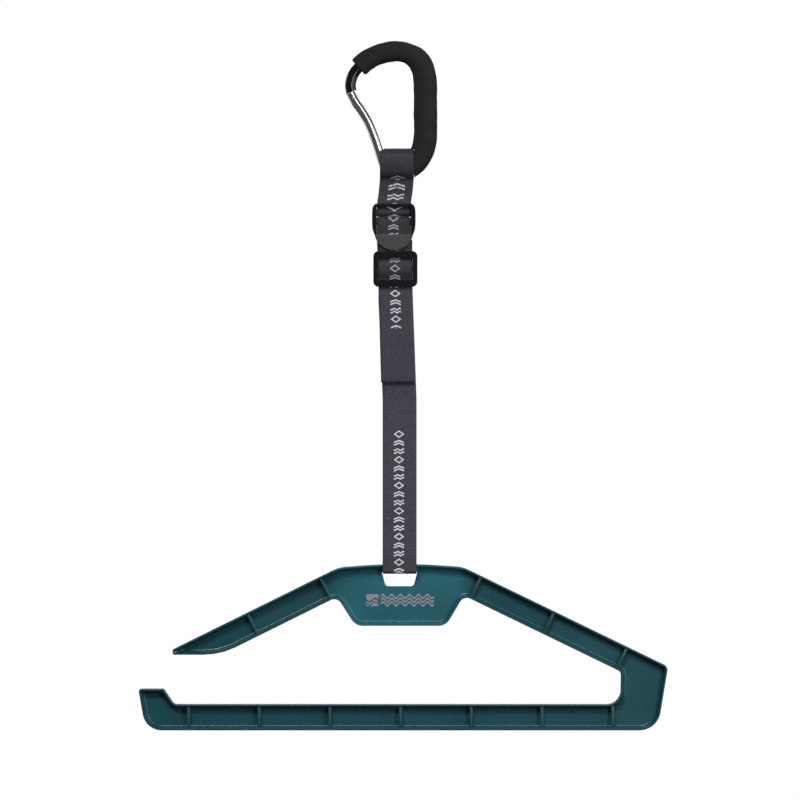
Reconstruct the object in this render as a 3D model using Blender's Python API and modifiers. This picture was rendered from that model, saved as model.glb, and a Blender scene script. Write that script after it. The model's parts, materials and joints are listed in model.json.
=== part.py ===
"""Drying hanger for wetsuits and harnesses, hung from a foam-covered carabiner.

A carabiner holds a sewn webbing loop with a ladder-lock buckle. A second strap
runs from the ladder-lock through the slot of a moulded hanger and back, and a
tri-glide keeps its end and its tail together.

Metres, +Z up, front towards -Y. The origin is the hang point: the lowest point
of the foam under the top of the carabiner.
"""

import math

import bmesh
import bpy
from mathutils import Matrix, Vector

MM = 0.001

# Webbing
WEB_WIDTH = 30.0 * MM
WEB_THICK = 1.5 * MM
GAP = 0.3 * MM
WRAP_GAP = 0.1 * MM + WEB_THICK / 2

# Carabiner
ROD_RADIUS = 4.8 * MM
FOAM_RADIUS_TOP = 9.1 * MM
FOAM_RADIUS_SIDE = 10.4 * MM
GATE_RADIUS = 4.0 * MM
HINGE = Vector((-12.6, 0.0, -97.2)) * MM
HINGE_RIVET_RADIUS = 1.5 * MM
TONGUE_RADIUS = 3.4 * MM
TONGUE_HALF = 1.4 * MM
FORK_SLOT_HALF = 1.8 * MM
NOSE_CUT = Vector((-43.1, 0.0, -27.2)) * MM
NOSE_CUT_SLOPE = math.radians(24.5)
LATCH_PIN = Vector((-41.1, 0.0, -33.0)) * MM

# Sewn loop between carabiner and ladder-lock
LOOP_TOP_Z = -77.9 * MM
LOOP_JOIN_Z = -104.3 * MM
LOOP_X = -2.8 * MM
LAYER_Y = 0.9 * MM

# Ladder-lock
LOCK_X = -5.5 * MM
LOCK_TOP_Z = -126.3 * MM
LOCK_BOTTOM_Z = -167.8 * MM
LOCK_HALF = 19.35 * MM
LOCK_WINDOW_HALF = 15.3 * MM
LOCK_FRONT_Y = -8.6 * MM
LOCK_BACK_Y = 2.7 * MM
CROSSBAR = Vector((LOCK_X, -1.0 * MM, -133.8 * MM))
CROSSBAR_RADIUS = 2.6 * MM
LOCKBAR = Vector((LOCK_X, -1.2 * MM, -142.6 * MM))
LOCKBAR_RADIUS = 2.7 * MM
TAB_CHORD_Z = -153.7 * MM
TAB_HALF = 17.1 * MM
TAB_BACK_Y = -6.2 * MM

# Tri-glide
GLIDE_X = -4.1 * MM
GLIDE_Z = -184.2 * MM
GLIDE_HALF_WIDTH = 19.6 * MM
GLIDE_HALF_HEIGHT = 15.9 * MM
GLIDE_WINDOW_HALF = 15.3 * MM
GLIDE_BAR = 6.2 * MM
GLIDE_FRONT_Y = -8.7 * MM
GLIDE_BARS_BACK_Y = -5.6 * MM
GLIDE_RAIL_BACK_Y = -2.3 * MM
CENTRE_BAR_Y = -3.45 * MM
CENTRE_BAR_HALF = 1.1 * MM
CENTRE_BAR_HALF_HEIGHT = 2.4 * MM

# Strap layers at the tri-glide, front to back
TAIL_Y = -4.7 * MM
END_TAB_Y = -3.1 * MM
FRONT_Y = -1.5 * MM
REAR_Y = 0.6 * MM
TAIL_X = -1.6 * MM
STRAP_X = -0.35 * MM
HEM_Z = -285.0 * MM
HEM_RAW_Z = -248.1 * MM
SLIDE_SPLIT_Z = -300.0 * MM
SWING_SPLIT_Z = -400.0 * MM
LOWER_LOOP_Z = -438.0 * MM

# Hanger moulding
HANGER_DEPTH = 20.0 * MM
RIM_WALL = 2.5 * MM
WEB_WALL = 2.8 * MM
RIB_WALL = 2.6 * MM
ARM_SLOPE = math.radians(26.2)
RIB_PITCH = 62.7 * MM
SLOT_TOP_Z = -452.8 * MM
SLOT_BOTTOM_Z = -465.7 * MM
SLOT_HALF_TOP = 15.8 * MM
SLOT_HALF_BOTTOM = 12.4 * MM
SLOT_CORNER = 3.4 * MM
BAR_HALF = 14.6 * MM
BAR_TOP_Z = -446.9 * MM
BAR_BEVEL = 0.8 * MM
STRAP_AT_RIM_Y = HANGER_DEPTH / 2 + GAP + WEB_THICK / 2

for old in list(bpy.data.objects):
    bpy.data.objects.remove(old, do_unlink=True)

part_collection = bpy.data.collections.new("drying_hanger")
cutter_collection = bpy.data.collections.new("cutters")
for made in (part_collection, cutter_collection):
    bpy.context.scene.collection.children.link(made)


def material(name, colour, roughness, metallic=0.0):
    made = bpy.data.materials.new(name)
    made.use_nodes = True
    shader = made.node_tree.nodes["Principled BSDF"]
    shader.inputs["Base Color"].default_value = (*colour, 1.0)
    shader.inputs["Roughness"].default_value = roughness
    shader.inputs["Metallic"].default_value = metallic
    return made


def add_object(name, data, made_of=None, collection=part_collection):
    made = bpy.data.objects.new(name, data)
    collection.objects.link(made)
    if made_of:
        data.materials.append(made_of)
    return made


def finish(name, mesh, finish_values, smooth_angle=35.0):
    """Name a finished mesh, shade it and give it its own material."""
    made = add_object(name, mesh, material(name + "_finish", *finish_values))
    mesh.shade_smooth()
    mesh.set_sharp_from_angle(angle=math.radians(smooth_angle))
    return made


def mesh_from(build, name="shape"):
    """A mesh from a function that fills a bmesh."""
    work = bmesh.new()
    build(work)
    bmesh.ops.recalc_face_normals(work, faces=work.faces)
    mesh = bpy.data.meshes.new(name)
    work.to_mesh(mesh)
    work.free()
    return mesh


def evaluated_mesh(made):
    """The object's evaluated mesh in world space; the object is removed."""
    bpy.context.view_layer.update()
    graph = bpy.context.evaluated_depsgraph_get()
    mesh = bpy.data.meshes.new_from_object(made.evaluated_get(graph))
    mesh.transform(made.matrix_world)
    bpy.data.objects.remove(made, do_unlink=True)
    work = bmesh.new()
    work.from_mesh(mesh)
    bmesh.ops.remove_doubles(work, verts=work.verts, dist=0.005 * MM)
    work.to_mesh(mesh)
    work.free()
    mesh.materials.clear()
    return mesh


def boolean(mesh, other, operation="DIFFERENCE"):
    """Combine two meshes with an exact Boolean and return the result."""
    body = add_object("work", mesh, collection=cutter_collection)
    tool = add_object("cutter", other, collection=cutter_collection)
    tool.hide_render = True
    tool.display_type = "WIRE"
    cut = body.modifiers.new("cut", "BOOLEAN")
    cut.operation = operation
    cut.object = tool
    result = evaluated_mesh(body)
    bpy.data.objects.remove(tool, do_unlink=True)
    return result


def box(low, high, bevel=0.0):
    low, high = Vector(low), Vector(high)

    def build(work):
        made = bmesh.ops.create_cube(work, size=1.0)
        bmesh.ops.scale(work, vec=high - low, verts=made["verts"])
        bmesh.ops.translate(work, vec=(high + low) / 2, verts=made["verts"])
        if bevel:
            edges = list(work.edges)
            bmesh.ops.bevel(work, geom=edges, offset=bevel, segments=2, affect="EDGES", profile=0.5)

    return mesh_from(build)


def cylinder(centre, radius, half_length, axis="Y", sides=24, bevel=0.0):
    turn = {
        "X": Matrix.Rotation(math.pi / 2, 3, "Y"),
        "Y": Matrix.Rotation(math.pi / 2, 3, "X"),
        "Z": Matrix.Identity(3),
    }[axis]

    def build(work):
        made = bmesh.ops.create_cone(
            work, cap_ends=True, segments=sides, radius1=radius, radius2=radius, depth=2 * half_length
        )
        if bevel:
            rims = [edge for edge in work.edges if abs(edge.verts[0].co.z - edge.verts[1].co.z) < 1e-9]
            bmesh.ops.bevel(work, geom=rims, offset=bevel, segments=2, affect="EDGES", profile=0.5)
        bmesh.ops.rotate(work, matrix=turn, verts=work.verts)
        bmesh.ops.translate(work, vec=centre, verts=work.verts)
        return made

    return mesh_from(build)


def smooth_path(points, steps):
    """Points on a Catmull-Rom curve through the given points."""
    points = [Vector(point) for point in points]
    padded = [2 * points[0] - points[1], *points, 2 * points[-1] - points[-2]]
    route = []
    for before, start, end, after in zip(padded, padded[1:], padded[2:], padded[3:]):
        for step in range(steps):
            t = step / steps
            route.append(
                0.5
                * (
                    2 * start
                    + (end - before) * t
                    + (2 * before - 5 * start + 4 * end - after) * t**2
                    + (3 * start - before - 3 * end + after) * t**3
                )
            )
    return [*route, points[-1]]


def tube(route, radius, resolution=2, radii=None):
    """A round bar along a route, with closed ends."""
    curve = bpy.data.curves.new("bar", "CURVE")
    curve.dimensions = "3D"
    curve.bevel_depth = radius
    curve.bevel_resolution = resolution
    curve.use_fill_caps = True
    spline = curve.splines.new("POLY")
    spline.points.add(len(route) - 1)
    for number, point in enumerate(route):
        spline.points[number].co = (*point, 1.0)
        spline.points[number].radius = radii[number] if radii else 1.0
    return evaluated_mesh(add_object("bar", curve, collection=cutter_collection))


def plate(outline, half, centre_y=0.0):
    """A flat plate in the XZ plane from a closed outline of (x, z) points."""
    curve = bpy.data.curves.new("plate", "CURVE")
    curve.dimensions = "2D"
    curve.fill_mode = "BOTH"
    curve.extrude = half
    spline = curve.splines.new("POLY")
    spline.points.add(len(outline) - 1)
    for number, (x, z) in enumerate(outline):
        spline.points[number].co = (x, z, 0.0, 1.0)
    spline.use_cyclic_u = True
    made = add_object("plate", curve, collection=cutter_collection)
    made.rotation_euler = (math.pi / 2, 0.0, 0.0)
    made.location = (0.0, centre_y, 0.0)
    mesh = evaluated_mesh(made)
    work = bmesh.new()
    work.from_mesh(mesh)
    bmesh.ops.dissolve_limit(work, angle_limit=math.radians(0.1), verts=work.verts, edges=work.edges)
    work.to_mesh(mesh)
    work.free()
    return mesh


def arc(centre, radius, start, end, steps):
    """Points on an arc in the XZ plane; angles in degrees from +X towards +Z."""
    return [
        (
            centre[0] + radius * math.cos(math.radians(start + (end - start) * step / steps)),
            centre[1] + radius * math.sin(math.radians(start + (end - start) * step / steps)),
        )
        for step in range(steps + 1)
    ]


def ribbon(route, width=WEB_WIDTH, thick=WEB_THICK, shape=None):
    """A webbing strip: the route's points are the middle of the strip."""

    def build(work):
        left = [work.verts.new(point - Vector((width / 2, 0, 0))) for point in route]
        edges = [work.edges.new(pair) for pair in zip(left, left[1:])]
        made = bmesh.ops.extrude_edge_only(work, edges=edges)
        right = [item for item in made["geom"] if isinstance(item, bmesh.types.BMVert)]
        bmesh.ops.translate(work, vec=(width, 0, 0), verts=right)
        if shape:
            shape(work.verts)

    made = add_object("ribbon", mesh_from(build), collection=cutter_collection)
    solid = made.modifiers.new("thickness", "SOLIDIFY")
    solid.thickness = thick
    solid.offset = 0.0
    solid.use_even_offset = True
    return evaluated_mesh(made)


def thread(name, corners, radius=0.28 * MM):
    """Sewing thread as one line through its corners."""
    finish(name, tube([Vector(corner) for corner in corners], radius, 1), THREAD)


BLACK_METAL = ((0.012, 0.012, 0.013), 0.3, 0.6)
FOAM = ((0.008, 0.008, 0.008), 0.95)
ALUMINIUM = ((0.62, 0.62, 0.6), 0.22, 1.0)
STEEL = ((0.55, 0.55, 0.55), 0.3, 1.0)
WEBBING = ((0.012, 0.011, 0.02), 0.7)
THREAD = ((0.01, 0.01, 0.012), 0.6)
ACETAL = ((0.008, 0.008, 0.009), 0.25)
TEAL_PLASTIC = ((0.0, 0.13, 0.15), 0.22)

FRAME_ROUTE = [
    (-43.3, -26.0), (-44.0, -20.0), (-41.7, -12.0), (-36.8, -5.3), (-30.2, 0.4), (-22.2, 4.9), (-12.4, 8.0),
    (-2.2, 9.1), (7.1, 7.1), (15.1, 2.2), (20.0, -5.8), (22.2, -16.4), (22.6, -29.7), (22.6, -47.5),
    (22.6, -65.7), (20.6, -77.5), (16.2, -86.4), (10.0, -92.3), (2.5, -95.8), (-6.2, -97.0),
]
FOAM_FIRST, FOAM_LAST = 3, 19
GATE_ROUTE = [
    (-44.3, -27.0), (-39.1, -36.4), (-35.3, -41.7), (-29.1, -51.9), (-24.4, -62.6), (-19.4, -76.8),
    (-16.2, -87.4), (-12.6, -97.2),
]


def in_plane(points):
    return [Vector((x * MM, 0.0, z * MM)) for x, z in points]


def nose_cutter(above):
    """A block on one side of the sloping face between nose and gate."""
    reach = 14 * MM
    gap = 0.2 * MM
    low, high = (-gap, reach) if above else (-reach, gap)
    mesh = box((-reach, -reach, low), (reach, reach, high))
    mesh.transform(Matrix.Translation(NOSE_CUT) @ Matrix.Rotation(-NOSE_CUT_SLOPE, 4, "Y"))
    return mesh


def make_carabiner():
    route = smooth_path(in_plane([(-42.3, -31.0), *FRAME_ROUTE]), 3)
    frame = tube(route, ROD_RADIUS)
    frame = boolean(frame, nose_cutter(above=False))
    tongue = cylinder(HINGE, TONGUE_RADIUS, TONGUE_HALF)
    neck_low, neck_high = Vector((0.0, -TONGUE_HALF, -3.0 * MM)), Vector((9.0 * MM, TONGUE_HALF, 3.0 * MM))
    neck = box(HINGE + neck_low, HINGE + neck_high)
    frame = boolean(frame, boolean(tongue, neck, "UNION"), "UNION")
    frame = boolean(frame, cylinder(HINGE, HINGE_RIVET_RADIUS + 0.25 * MM, 6 * MM))
    finish("carabiner_frame", frame, BLACK_METAL)

    covered = smooth_path(in_plane(FRAME_ROUTE[FOAM_FIRST:FOAM_LAST]), 3)
    side = FOAM_RADIUS_SIDE / FOAM_RADIUS_TOP
    radii = [1.0 + (side - 1.0) * min(1.0, max(0.0, (point.x - 5 * MM) / (17 * MM))) for point in covered]
    below_side = [number for number, point in enumerate(covered) if point.z < -30 * MM]
    for number in below_side:
        radii[number] = side
    foam = tube(covered, FOAM_RADIUS_TOP, 3, radii)
    foam = boolean(foam, tube(smooth_path(in_plane(FRAME_ROUTE), 3), ROD_RADIUS + GAP, 2))
    strap_edge = LOOP_X + WEB_WIDTH / 2 + 0.5 * MM
    room = box((strap_edge - 30 * MM, -20 * MM, -120 * MM), (strap_edge, 20 * MM, LOOP_TOP_Z + WEB_THICK))
    finish("foam_grip", boolean(foam, room), FOAM)


def make_gate():
    route = smooth_path(in_plane(GATE_ROUTE), 3)
    arm = tube(route, GATE_RADIUS)
    arm = boolean(arm, cylinder(HINGE, GATE_RADIUS - 0.05 * MM, GATE_RADIUS - 0.05 * MM), "UNION")
    arm = boolean(arm, nose_cutter(above=True))
    up = (in_plane(GATE_ROUTE)[-2] - HINGE).normalized()
    slot_top = 5.2 * MM
    slot = box((-9 * MM, -FORK_SLOT_HALF, -9 * MM), (9 * MM, FORK_SLOT_HALF, slot_top))
    slot.transform(Matrix.Translation(HINGE) @ Vector((0, 0, 1)).rotation_difference(up).to_matrix().to_4x4())
    arm = boolean(arm, slot)
    arm = boolean(arm, cylinder(HINGE, HINGE_RIVET_RADIUS + 0.25 * MM, 6 * MM))
    bore_radius, bore_top = 1.7 * MM, 18 * MM
    arm = boolean(arm, tube([HINGE + up * 4 * MM, HINGE + up * bore_top], bore_radius))
    latch_radius = 0.9 * MM
    arm = boolean(arm, cylinder(LATCH_PIN, latch_radius + GAP, 8 * MM, sides=16))
    finish("gate_arm", arm, ALUMINIUM)
    finish("latch_pin", cylinder(LATCH_PIN, latch_radius, 3.7 * MM, sides=16, bevel=0.2 * MM), STEEL)

    rivet = cylinder(HINGE, HINGE_RIVET_RADIUS, 4.0 * MM, sides=20)
    head_half = 0.25 * MM
    for side in (-1, 1):
        place = HINGE + Vector((0, side * (GATE_RADIUS + 0.15 * MM + head_half), 0))
        rivet = boolean(rivet, cylinder(place, 2.2 * MM, head_half, sides=20, bevel=0.1 * MM), "UNION")
        inset = Vector((0, side * 0.5 * MM, 0))
        stub = cylinder(place - inset, HINGE_RIVET_RADIUS * 0.98, 0.6 * MM, sides=20)
        rivet = boolean(rivet, stub, "UNION")
    finish("gate_rivet", rivet, STEEL)

    plunger_start, plunger_end = 3.8 * MM, 9.0 * MM
    pin = tube([HINGE + up * plunger_start, HINGE + up * plunger_end], 0.8 * MM)
    head = tube([HINGE + up * (plunger_end - 1.0 * MM), HINGE + up * plunger_end], 1.35 * MM)
    finish("gate_plunger", boolean(pin, head, "UNION"), STEEL)

    across = up.cross(Vector((0, 1, 0)))
    turns, per_turn, coil_radius = 6, 10, 1.05 * MM
    start, end = plunger_end + 0.55 * MM, bore_top - 0.6 * MM
    coil = []
    for number in range(turns * per_turn + 1):
        angle = 2 * math.pi * number / per_turn
        along = start + (end - start) * number / (turns * per_turn)
        turned = across * math.cos(angle) + Vector((0, 1, 0)) * math.sin(angle)
        coil.append(HINGE + up * along + turned * coil_radius)
    finish("gate_spring", tube(coil, 0.22 * MM, 1), STEEL)


def make_anchor_loop():
    gate_edge = -14.5 * MM
    fold = [
        (0.0, -77.9), (-4.6, -79.0), (-8.2, -82.6), (-9.5, -88.0), (-9.2, -94.0),
        (-7.6, -99.2), (-3.8, -102.6),
    ]
    front = [Vector((LOOP_X, y * MM, z * MM)) for y, z in fold]
    end = Vector((LOOP_X, -LAYER_Y - 0.05 * MM, LOOP_JOIN_Z + 0.1 * MM))
    half = [*smooth_path([*front, end + Vector((0, 0, 0.8 * MM))], 3), end]
    back = [Vector((point.x, -point.y, point.z)) for point in half[1:]]
    route = [*reversed(back), *half]

    def clear_gate(verts):
        for vert in verts:
            if vert.co.x < LOOP_X and abs(vert.co.y) < 6 * MM and vert.co.z > -90 * MM:
                vert.co.x = gate_edge

    finish("anchor_loop", ribbon(route, shape=clear_gate), WEBBING)

    wrap = CROSSBAR_RADIUS + WRAP_GAP
    top = LOOP_JOIN_Z - GAP
    shift = [(-LAYER_Y, top), (-LAYER_Y, -118 * MM), (-2.0 * MM, -124 * MM)]
    down = [Vector((LOOP_X + (LOCK_X - LOOP_X) * step / 2, y, z)) for step, (y, z) in enumerate(shift)]
    under = [
        CROSSBAR + Vector((0, wrap * math.sin(angle), -wrap * math.cos(angle)))
        for angle in (math.radians(-100 + 200 * step / 12) for step in range(13))
    ]
    up = [Vector((point.x, -point.y, point.z)) for point in reversed(down)]
    up[0].y = 1.3 * MM
    finish("anchor_loop_base", ribbon([*down, *under, *up]), WEBBING)

    left, right, high, low = -14.2 * MM, 8.9 * MM, -105.4 * MM, -117.6 * MM
    y = -LAYER_Y - WEB_THICK / 2 - 0.6 * MM
    corners = [(left, high), (right, high), (right, low), (left, low), (left, high)]
    box_line = [(x, y, z) for x, z in corners]
    inset = 1.2 * MM
    cross = [
        (right - inset, y, low + inset), (right - inset, y, high - inset), (left + inset, y, low + inset),
    ]
    thread("anchor_box_stitch", [*box_line[:-1], (left, y, high - inset), *cross[:2], cross[2]])


def make_ladder_lock():
    half_top, shoulder = LOCK_HALF - 3.0 * MM, 3.0 * MM
    tab_radius = (TAB_HALF**2 + (TAB_CHORD_Z - LOCK_BOTTOM_Z) ** 2) / (2 * (TAB_CHORD_Z - LOCK_BOTTOM_Z))
    tab_centre_z = LOCK_BOTTOM_Z + tab_radius
    swing = math.degrees(math.acos(TAB_HALF / tab_radius))
    tab = arc((0.0, tab_centre_z), tab_radius, -180 + swing, -swing, 16)
    side = [(LOCK_HALF - 0.6 * MM, -148 * MM), (LOCK_HALF, -141 * MM), (LOCK_HALF, -134 * MM)]
    corner = [(LOCK_HALF - 0.4 * MM, LOCK_TOP_Z - shoulder), (half_top, LOCK_TOP_Z)]
    right = [*side, *corner]
    outline = [*tab, *right, *[(-x, z) for x, z in reversed(right)]]
    outline = [(LOCK_X + x, z) for x, z in outline]
    middle_y = (LOCK_FRONT_Y + LOCK_BACK_Y) / 2
    buckle = plate(outline, (LOCK_BACK_Y - LOCK_FRONT_Y) / 2, middle_y)
    rim_bottom = LOCK_TOP_Z - 2.8 * MM
    low_x, high_x = LOCK_X - LOCK_WINDOW_HALF, LOCK_X + LOCK_WINDOW_HALF
    buckle = boolean(buckle, box((low_x, -20 * MM, TAB_CHORD_Z), (high_x, 20 * MM, rim_bottom)))
    buckle = boolean(buckle, box((low_x, TAB_BACK_Y, rim_bottom - MM), (high_x, 20 * MM, -110 * MM)))
    wide = 30 * MM
    behind_tab = box((LOCK_X - wide, TAB_BACK_Y, -180 * MM), (LOCK_X + wide, 20 * MM, TAB_CHORD_Z))
    buckle = boolean(buckle, behind_tab)
    for centre, radius in ((CROSSBAR, CROSSBAR_RADIUS), (LOCKBAR, LOCKBAR_RADIUS)):
        bar = cylinder(centre, radius, LOCK_WINDOW_HALF + 1.5 * MM, "X", sides=20)
        buckle = boolean(buckle, bar, "UNION")
    finish("ladder_lock_buckle", buckle, ACETAL)

    wrap = LOCKBAR_RADIUS + WRAP_GAP
    over = [
        LOCKBAR + Vector((0, wrap * math.sin(angle), wrap * math.cos(angle)))
        for angle in (math.radians(90 - 180 * step / 12) for step in range(13))
    ]
    back = Vector((LOCK_X, over[0].y - 0.1 * MM, -157 * MM))
    front = Vector((LOCK_X, TAIL_Y, -157 * MM))
    finish("strap_over_lock_bar", ribbon([back, *over, front]), WEBBING)


def make_tri_glide():
    corner = 4.5 * MM
    x, z = GLIDE_HALF_WIDTH - corner, GLIDE_HALF_HEIGHT - corner
    outline = []
    for centre, start in (((x, z), 0), ((-x, z), 90), ((-x, -z), 180), ((x, -z), 270)):
        outline += arc((GLIDE_X + centre[0], GLIDE_Z + centre[1]), corner, start, start + 90, 5)
    half = (GLIDE_RAIL_BACK_Y - GLIDE_FRONT_Y) / 2
    glide = plate(outline, half, GLIDE_FRONT_Y + half)
    window_x, window_z = GLIDE_WINDOW_HALF, GLIDE_HALF_HEIGHT - GLIDE_BAR
    low = Vector((GLIDE_X - window_x, 0, GLIDE_Z))
    high = Vector((GLIDE_X + window_x, 0, GLIDE_Z))
    glide = boolean(glide, box((low.x, -20 * MM, low.z - window_z), (high.x, 20 * MM, high.z + window_z)))
    tall = 30 * MM
    glide = boolean(glide, box((low.x, GLIDE_BARS_BACK_Y, low.z - tall), (high.x, 20 * MM, high.z + tall)))
    bar_reach = window_x + 1.5 * MM
    bar = box(
        (GLIDE_X - bar_reach, CENTRE_BAR_Y - CENTRE_BAR_HALF, GLIDE_Z - CENTRE_BAR_HALF_HEIGHT),
        (GLIDE_X + bar_reach, CENTRE_BAR_Y + CENTRE_BAR_HALF, GLIDE_Z + CENTRE_BAR_HALF_HEIGHT),
        bevel=1.0 * MM,
    )
    finish("tri_glide_buckle", boolean(glide, bar, "UNION"), ACETAL)

    crest_y = CENTRE_BAR_Y - CENTRE_BAR_HALF - 2 * WRAP_GAP - WEB_THICK / 2 - 0.05 * MM
    weave = [
        (TAIL_Y, -157.3), (TAIL_Y, -166.0), (TAIL_Y, -175.2), (-6.1 * MM, -178.6), (crest_y, -181.8),
        (crest_y, -186.6),
        (-6.1 * MM, -189.8), (-4.95 * MM, -192.6), (TAIL_Y, -194.2), (TAIL_Y, -199.7),
    ]
    route = smooth_path([(GLIDE_X, y, z * MM) for y, z in weave], 3)
    finish("strap_over_tri_glide", ribbon(route), WEBBING)

    wrap = CENTRE_BAR_HALF + WRAP_GAP
    bend_z = GLIDE_Z + CENTRE_BAR_HALF_HEIGHT - CENTRE_BAR_HALF
    around = [
        Vector((GLIDE_X, CENTRE_BAR_Y + wrap * math.cos(angle), bend_z + wrap * math.sin(angle)))
        for angle in (math.pi * step / 12 for step in range(13))
    ]
    end = [
        (-5.4 * MM, -185.4), (-4.9 * MM, -188.0), (-3.6 * MM, -190.8), (END_TAB_Y, -193.4),
        (END_TAB_Y, -212.0),
    ]
    front = [Vector((GLIDE_X, y, z * MM)) for y, z in end]
    rear = [Vector((GLIDE_X, FRONT_Y, -212.0 * MM)), Vector((GLIDE_X, FRONT_Y, -190.0 * MM))]
    finish("strap_end_loop", ribbon([*rear, *around, *front]), WEBBING)
    left, right = GLIDE_X - 11 * MM, GLIDE_X + 11 * MM
    y = FRONT_Y + WEB_THICK / 2 + 0.35 * MM
    rows = [(left, y, -203 * MM), (right, y, -203 * MM), (right, y, -210 * MM), (left, y, -210 * MM)]
    thread("strap_end_stitch", rows, 0.2 * MM)


def make_tail():
    start_z = -200.0 * MM
    drop = [
        Vector((
            GLIDE_X + (TAIL_X - GLIDE_X) * step / 4, TAIL_Y,
            start_z + (HEM_Z + 1.6 * MM - start_z) * step / 4,
        ))
        for step in range(5)
    ]
    turn = 0.85 * MM
    fold = [
        drop[-1] + Vector((0, -turn + turn * math.cos(angle), -turn * math.sin(angle)))
        for angle in (math.pi * step / 6 for step in range(1, 7))
    ]
    hem_end = Vector((TAIL_X - 0.6 * MM, TAIL_Y - 2 * turn, HEM_RAW_Z))
    finish("strap_tail", ribbon([*drop, *fold, hem_end]), WEBBING)
    y = TAIL_Y - 2 * turn - WEB_THICK / 2 - 0.6 * MM
    left, right = TAIL_X - 12 * MM, TAIL_X + 12 * MM
    rows = (-252 * MM, -263 * MM, -274 * MM)
    line = [
        (left, y, rows[0]), (right, y, rows[0]), (right, y, rows[1]), (left, y, rows[1]),
        (left, y, rows[2]),
    ]
    thread("tail_hem_stitch", [*line, (right, y, rows[2])])


def strand(name, x_ends, y_ends, z_ends):
    """A straight stretch of strap between two levels."""
    ends = [Vector((x, y, z)) for x, y, z in zip(x_ends, y_ends, z_ends)]
    finish(name, ribbon([ends[0].lerp(ends[1], step / 3) for step in range(4)]), WEBBING)


def make_strands():
    """The two runs of strap from the buckles to the hanger."""
    slide, swing, low = SLIDE_SPLIT_Z, SWING_SPLIT_Z, LOWER_LOOP_Z
    top_front, top_back = -212.0 * MM - GAP, -157.0 * MM - GAP
    rim = STRAP_AT_RIM_Y

    def spread(z, top_y):
        return top_y + (math.copysign(rim, top_y) - top_y) * (slide - z) / (slide - low)

    front_swing, back_swing = spread(swing, FRONT_Y), spread(swing, REAR_Y)
    strand("front_strand_top", (GLIDE_X, STRAP_X), (FRONT_Y, FRONT_Y), (top_front, slide + GAP / 2))
    middle = (slide - GAP / 2, swing + GAP / 2)
    strand("front_strand_middle", (STRAP_X, STRAP_X), (FRONT_Y, front_swing), middle)
    strand("front_strand_lower", (STRAP_X, STRAP_X), (front_swing, -rim), (swing - GAP / 2, low + GAP))
    lock_back_y = LOCKBAR.y + LOCKBAR_RADIUS + WRAP_GAP - 0.1 * MM
    strand("back_strand_top", (LOCK_X, STRAP_X), (lock_back_y, REAR_Y), (top_back, slide + GAP / 2))
    strand("back_strand_middle", (STRAP_X, STRAP_X), (REAR_Y, back_swing), (slide - GAP / 2, swing + GAP / 2))
    strand("back_strand_lower", (STRAP_X, STRAP_X), (back_swing, rim), (swing - GAP / 2, low + GAP))

    bend = 2.4 * MM
    under = SLOT_TOP_Z - GAP - WEB_THICK / 2
    turn = [
        Vector((STRAP_X, -rim + bend * (1 - math.cos(angle)), under + bend * (1 - math.sin(angle))))
        for angle in (math.pi / 2 * step / 4 for step in range(5))
    ]
    front = [Vector((STRAP_X, -rim, LOWER_LOOP_Z)), *turn]
    back = [Vector((point.x, -point.y, point.z)) for point in reversed(front)]
    finish("lower_loop", ribbon([*front, *back]), WEBBING)


# Corners of the moulding's outline, clockwise from the tip of the left arm: x, z, radius
HANGER_CORNERS = [
    (-201.7, -521.9, 1.6), (-54.2, -449.0, 30.0), (0.0, -445.0, 370.0), (55.7, -448.6, 28.0),
    (237.7, -536.9, 5.0), (228.4, -593.4, 19.0), (-225.6, -593.4, 17.0), (-232.0, -556.8, 2.0),
    (-209.6, -556.8, 1.6), (-200.3, -570.5, 6.0), (195.6, -570.5, 12.0), (196.2, -541.6, 5.0),
    (56.6, -473.9, 7.0), (40.8, -500.7, 12.0), (-39.5, -500.7, 12.0), (-55.8, -475.1, 7.0),
    (-159.1, -526.35, 65.0), (-201.7, -526.35, 1.9),
]


def millimetres(corners):
    return [tuple(part * MM for part in corner) for corner in corners]


def rounded_outline(corners, turn_step=15.0):
    """A closed outline from its corners (x, z, radius), each as an arc."""
    outline = []
    for number, (x, z, radius) in enumerate(corners):
        here = Vector((x, z))
        before = (Vector(corners[number - 1][:2]) - here).normalized()
        after = (Vector(corners[(number + 1) % len(corners)][:2]) - here).normalized()
        turn = math.pi - before.angle(after)
        reach = radius * math.tan(turn / 2)
        middle = here + (before + after).normalized() * (radius / math.cos(turn / 2))
        first, second = here + before * reach - middle, here + after * reach - middle
        steps = max(2, math.ceil(math.degrees(turn) / turn_step))
        for step in range(steps + 1):
            swept = turn * step / steps
            spoke = (first * math.sin(turn - swept) + second * math.sin(swept)) / math.sin(turn)
            outline.append(tuple(middle + spoke))
    return outline


def inset_corners(corners, wall):
    """The corners of a clockwise outline moved inwards by a wall."""
    moved = []
    for number, (x, z, radius) in enumerate(corners):
        here = Vector((x, z))
        into = (here - Vector(corners[number - 1][:2])).normalized()
        out_of = (Vector(corners[(number + 1) % len(corners)][:2]) - here).normalized()
        normals = Vector((into.y, -into.x)), Vector((out_of.y, -out_of.x))
        shift = (normals[0] + normals[1]) * wall / (1 + normals[0].dot(normals[1]))
        turns_in = into.cross(out_of) < 0
        moved.append((x + shift.x, z + shift.y, max(0.8 * MM, radius - wall if turns_in else radius + wall)))
    return moved


def pocket_corners():
    """The moulding's corners with the tip of the left arm as one sharp corner."""
    corners = millimetres(HANGER_CORNERS)
    (tip_x, tip_z, _), (arm_x, arm_z, _), low_z = corners[0], corners[1], corners[-1][1]
    sharp_x = tip_x - (tip_z - low_z) * (arm_x - tip_x) / (arm_z - tip_z)
    return [(sharp_x, low_z, 0.0), *corners[1:-1]]


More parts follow.
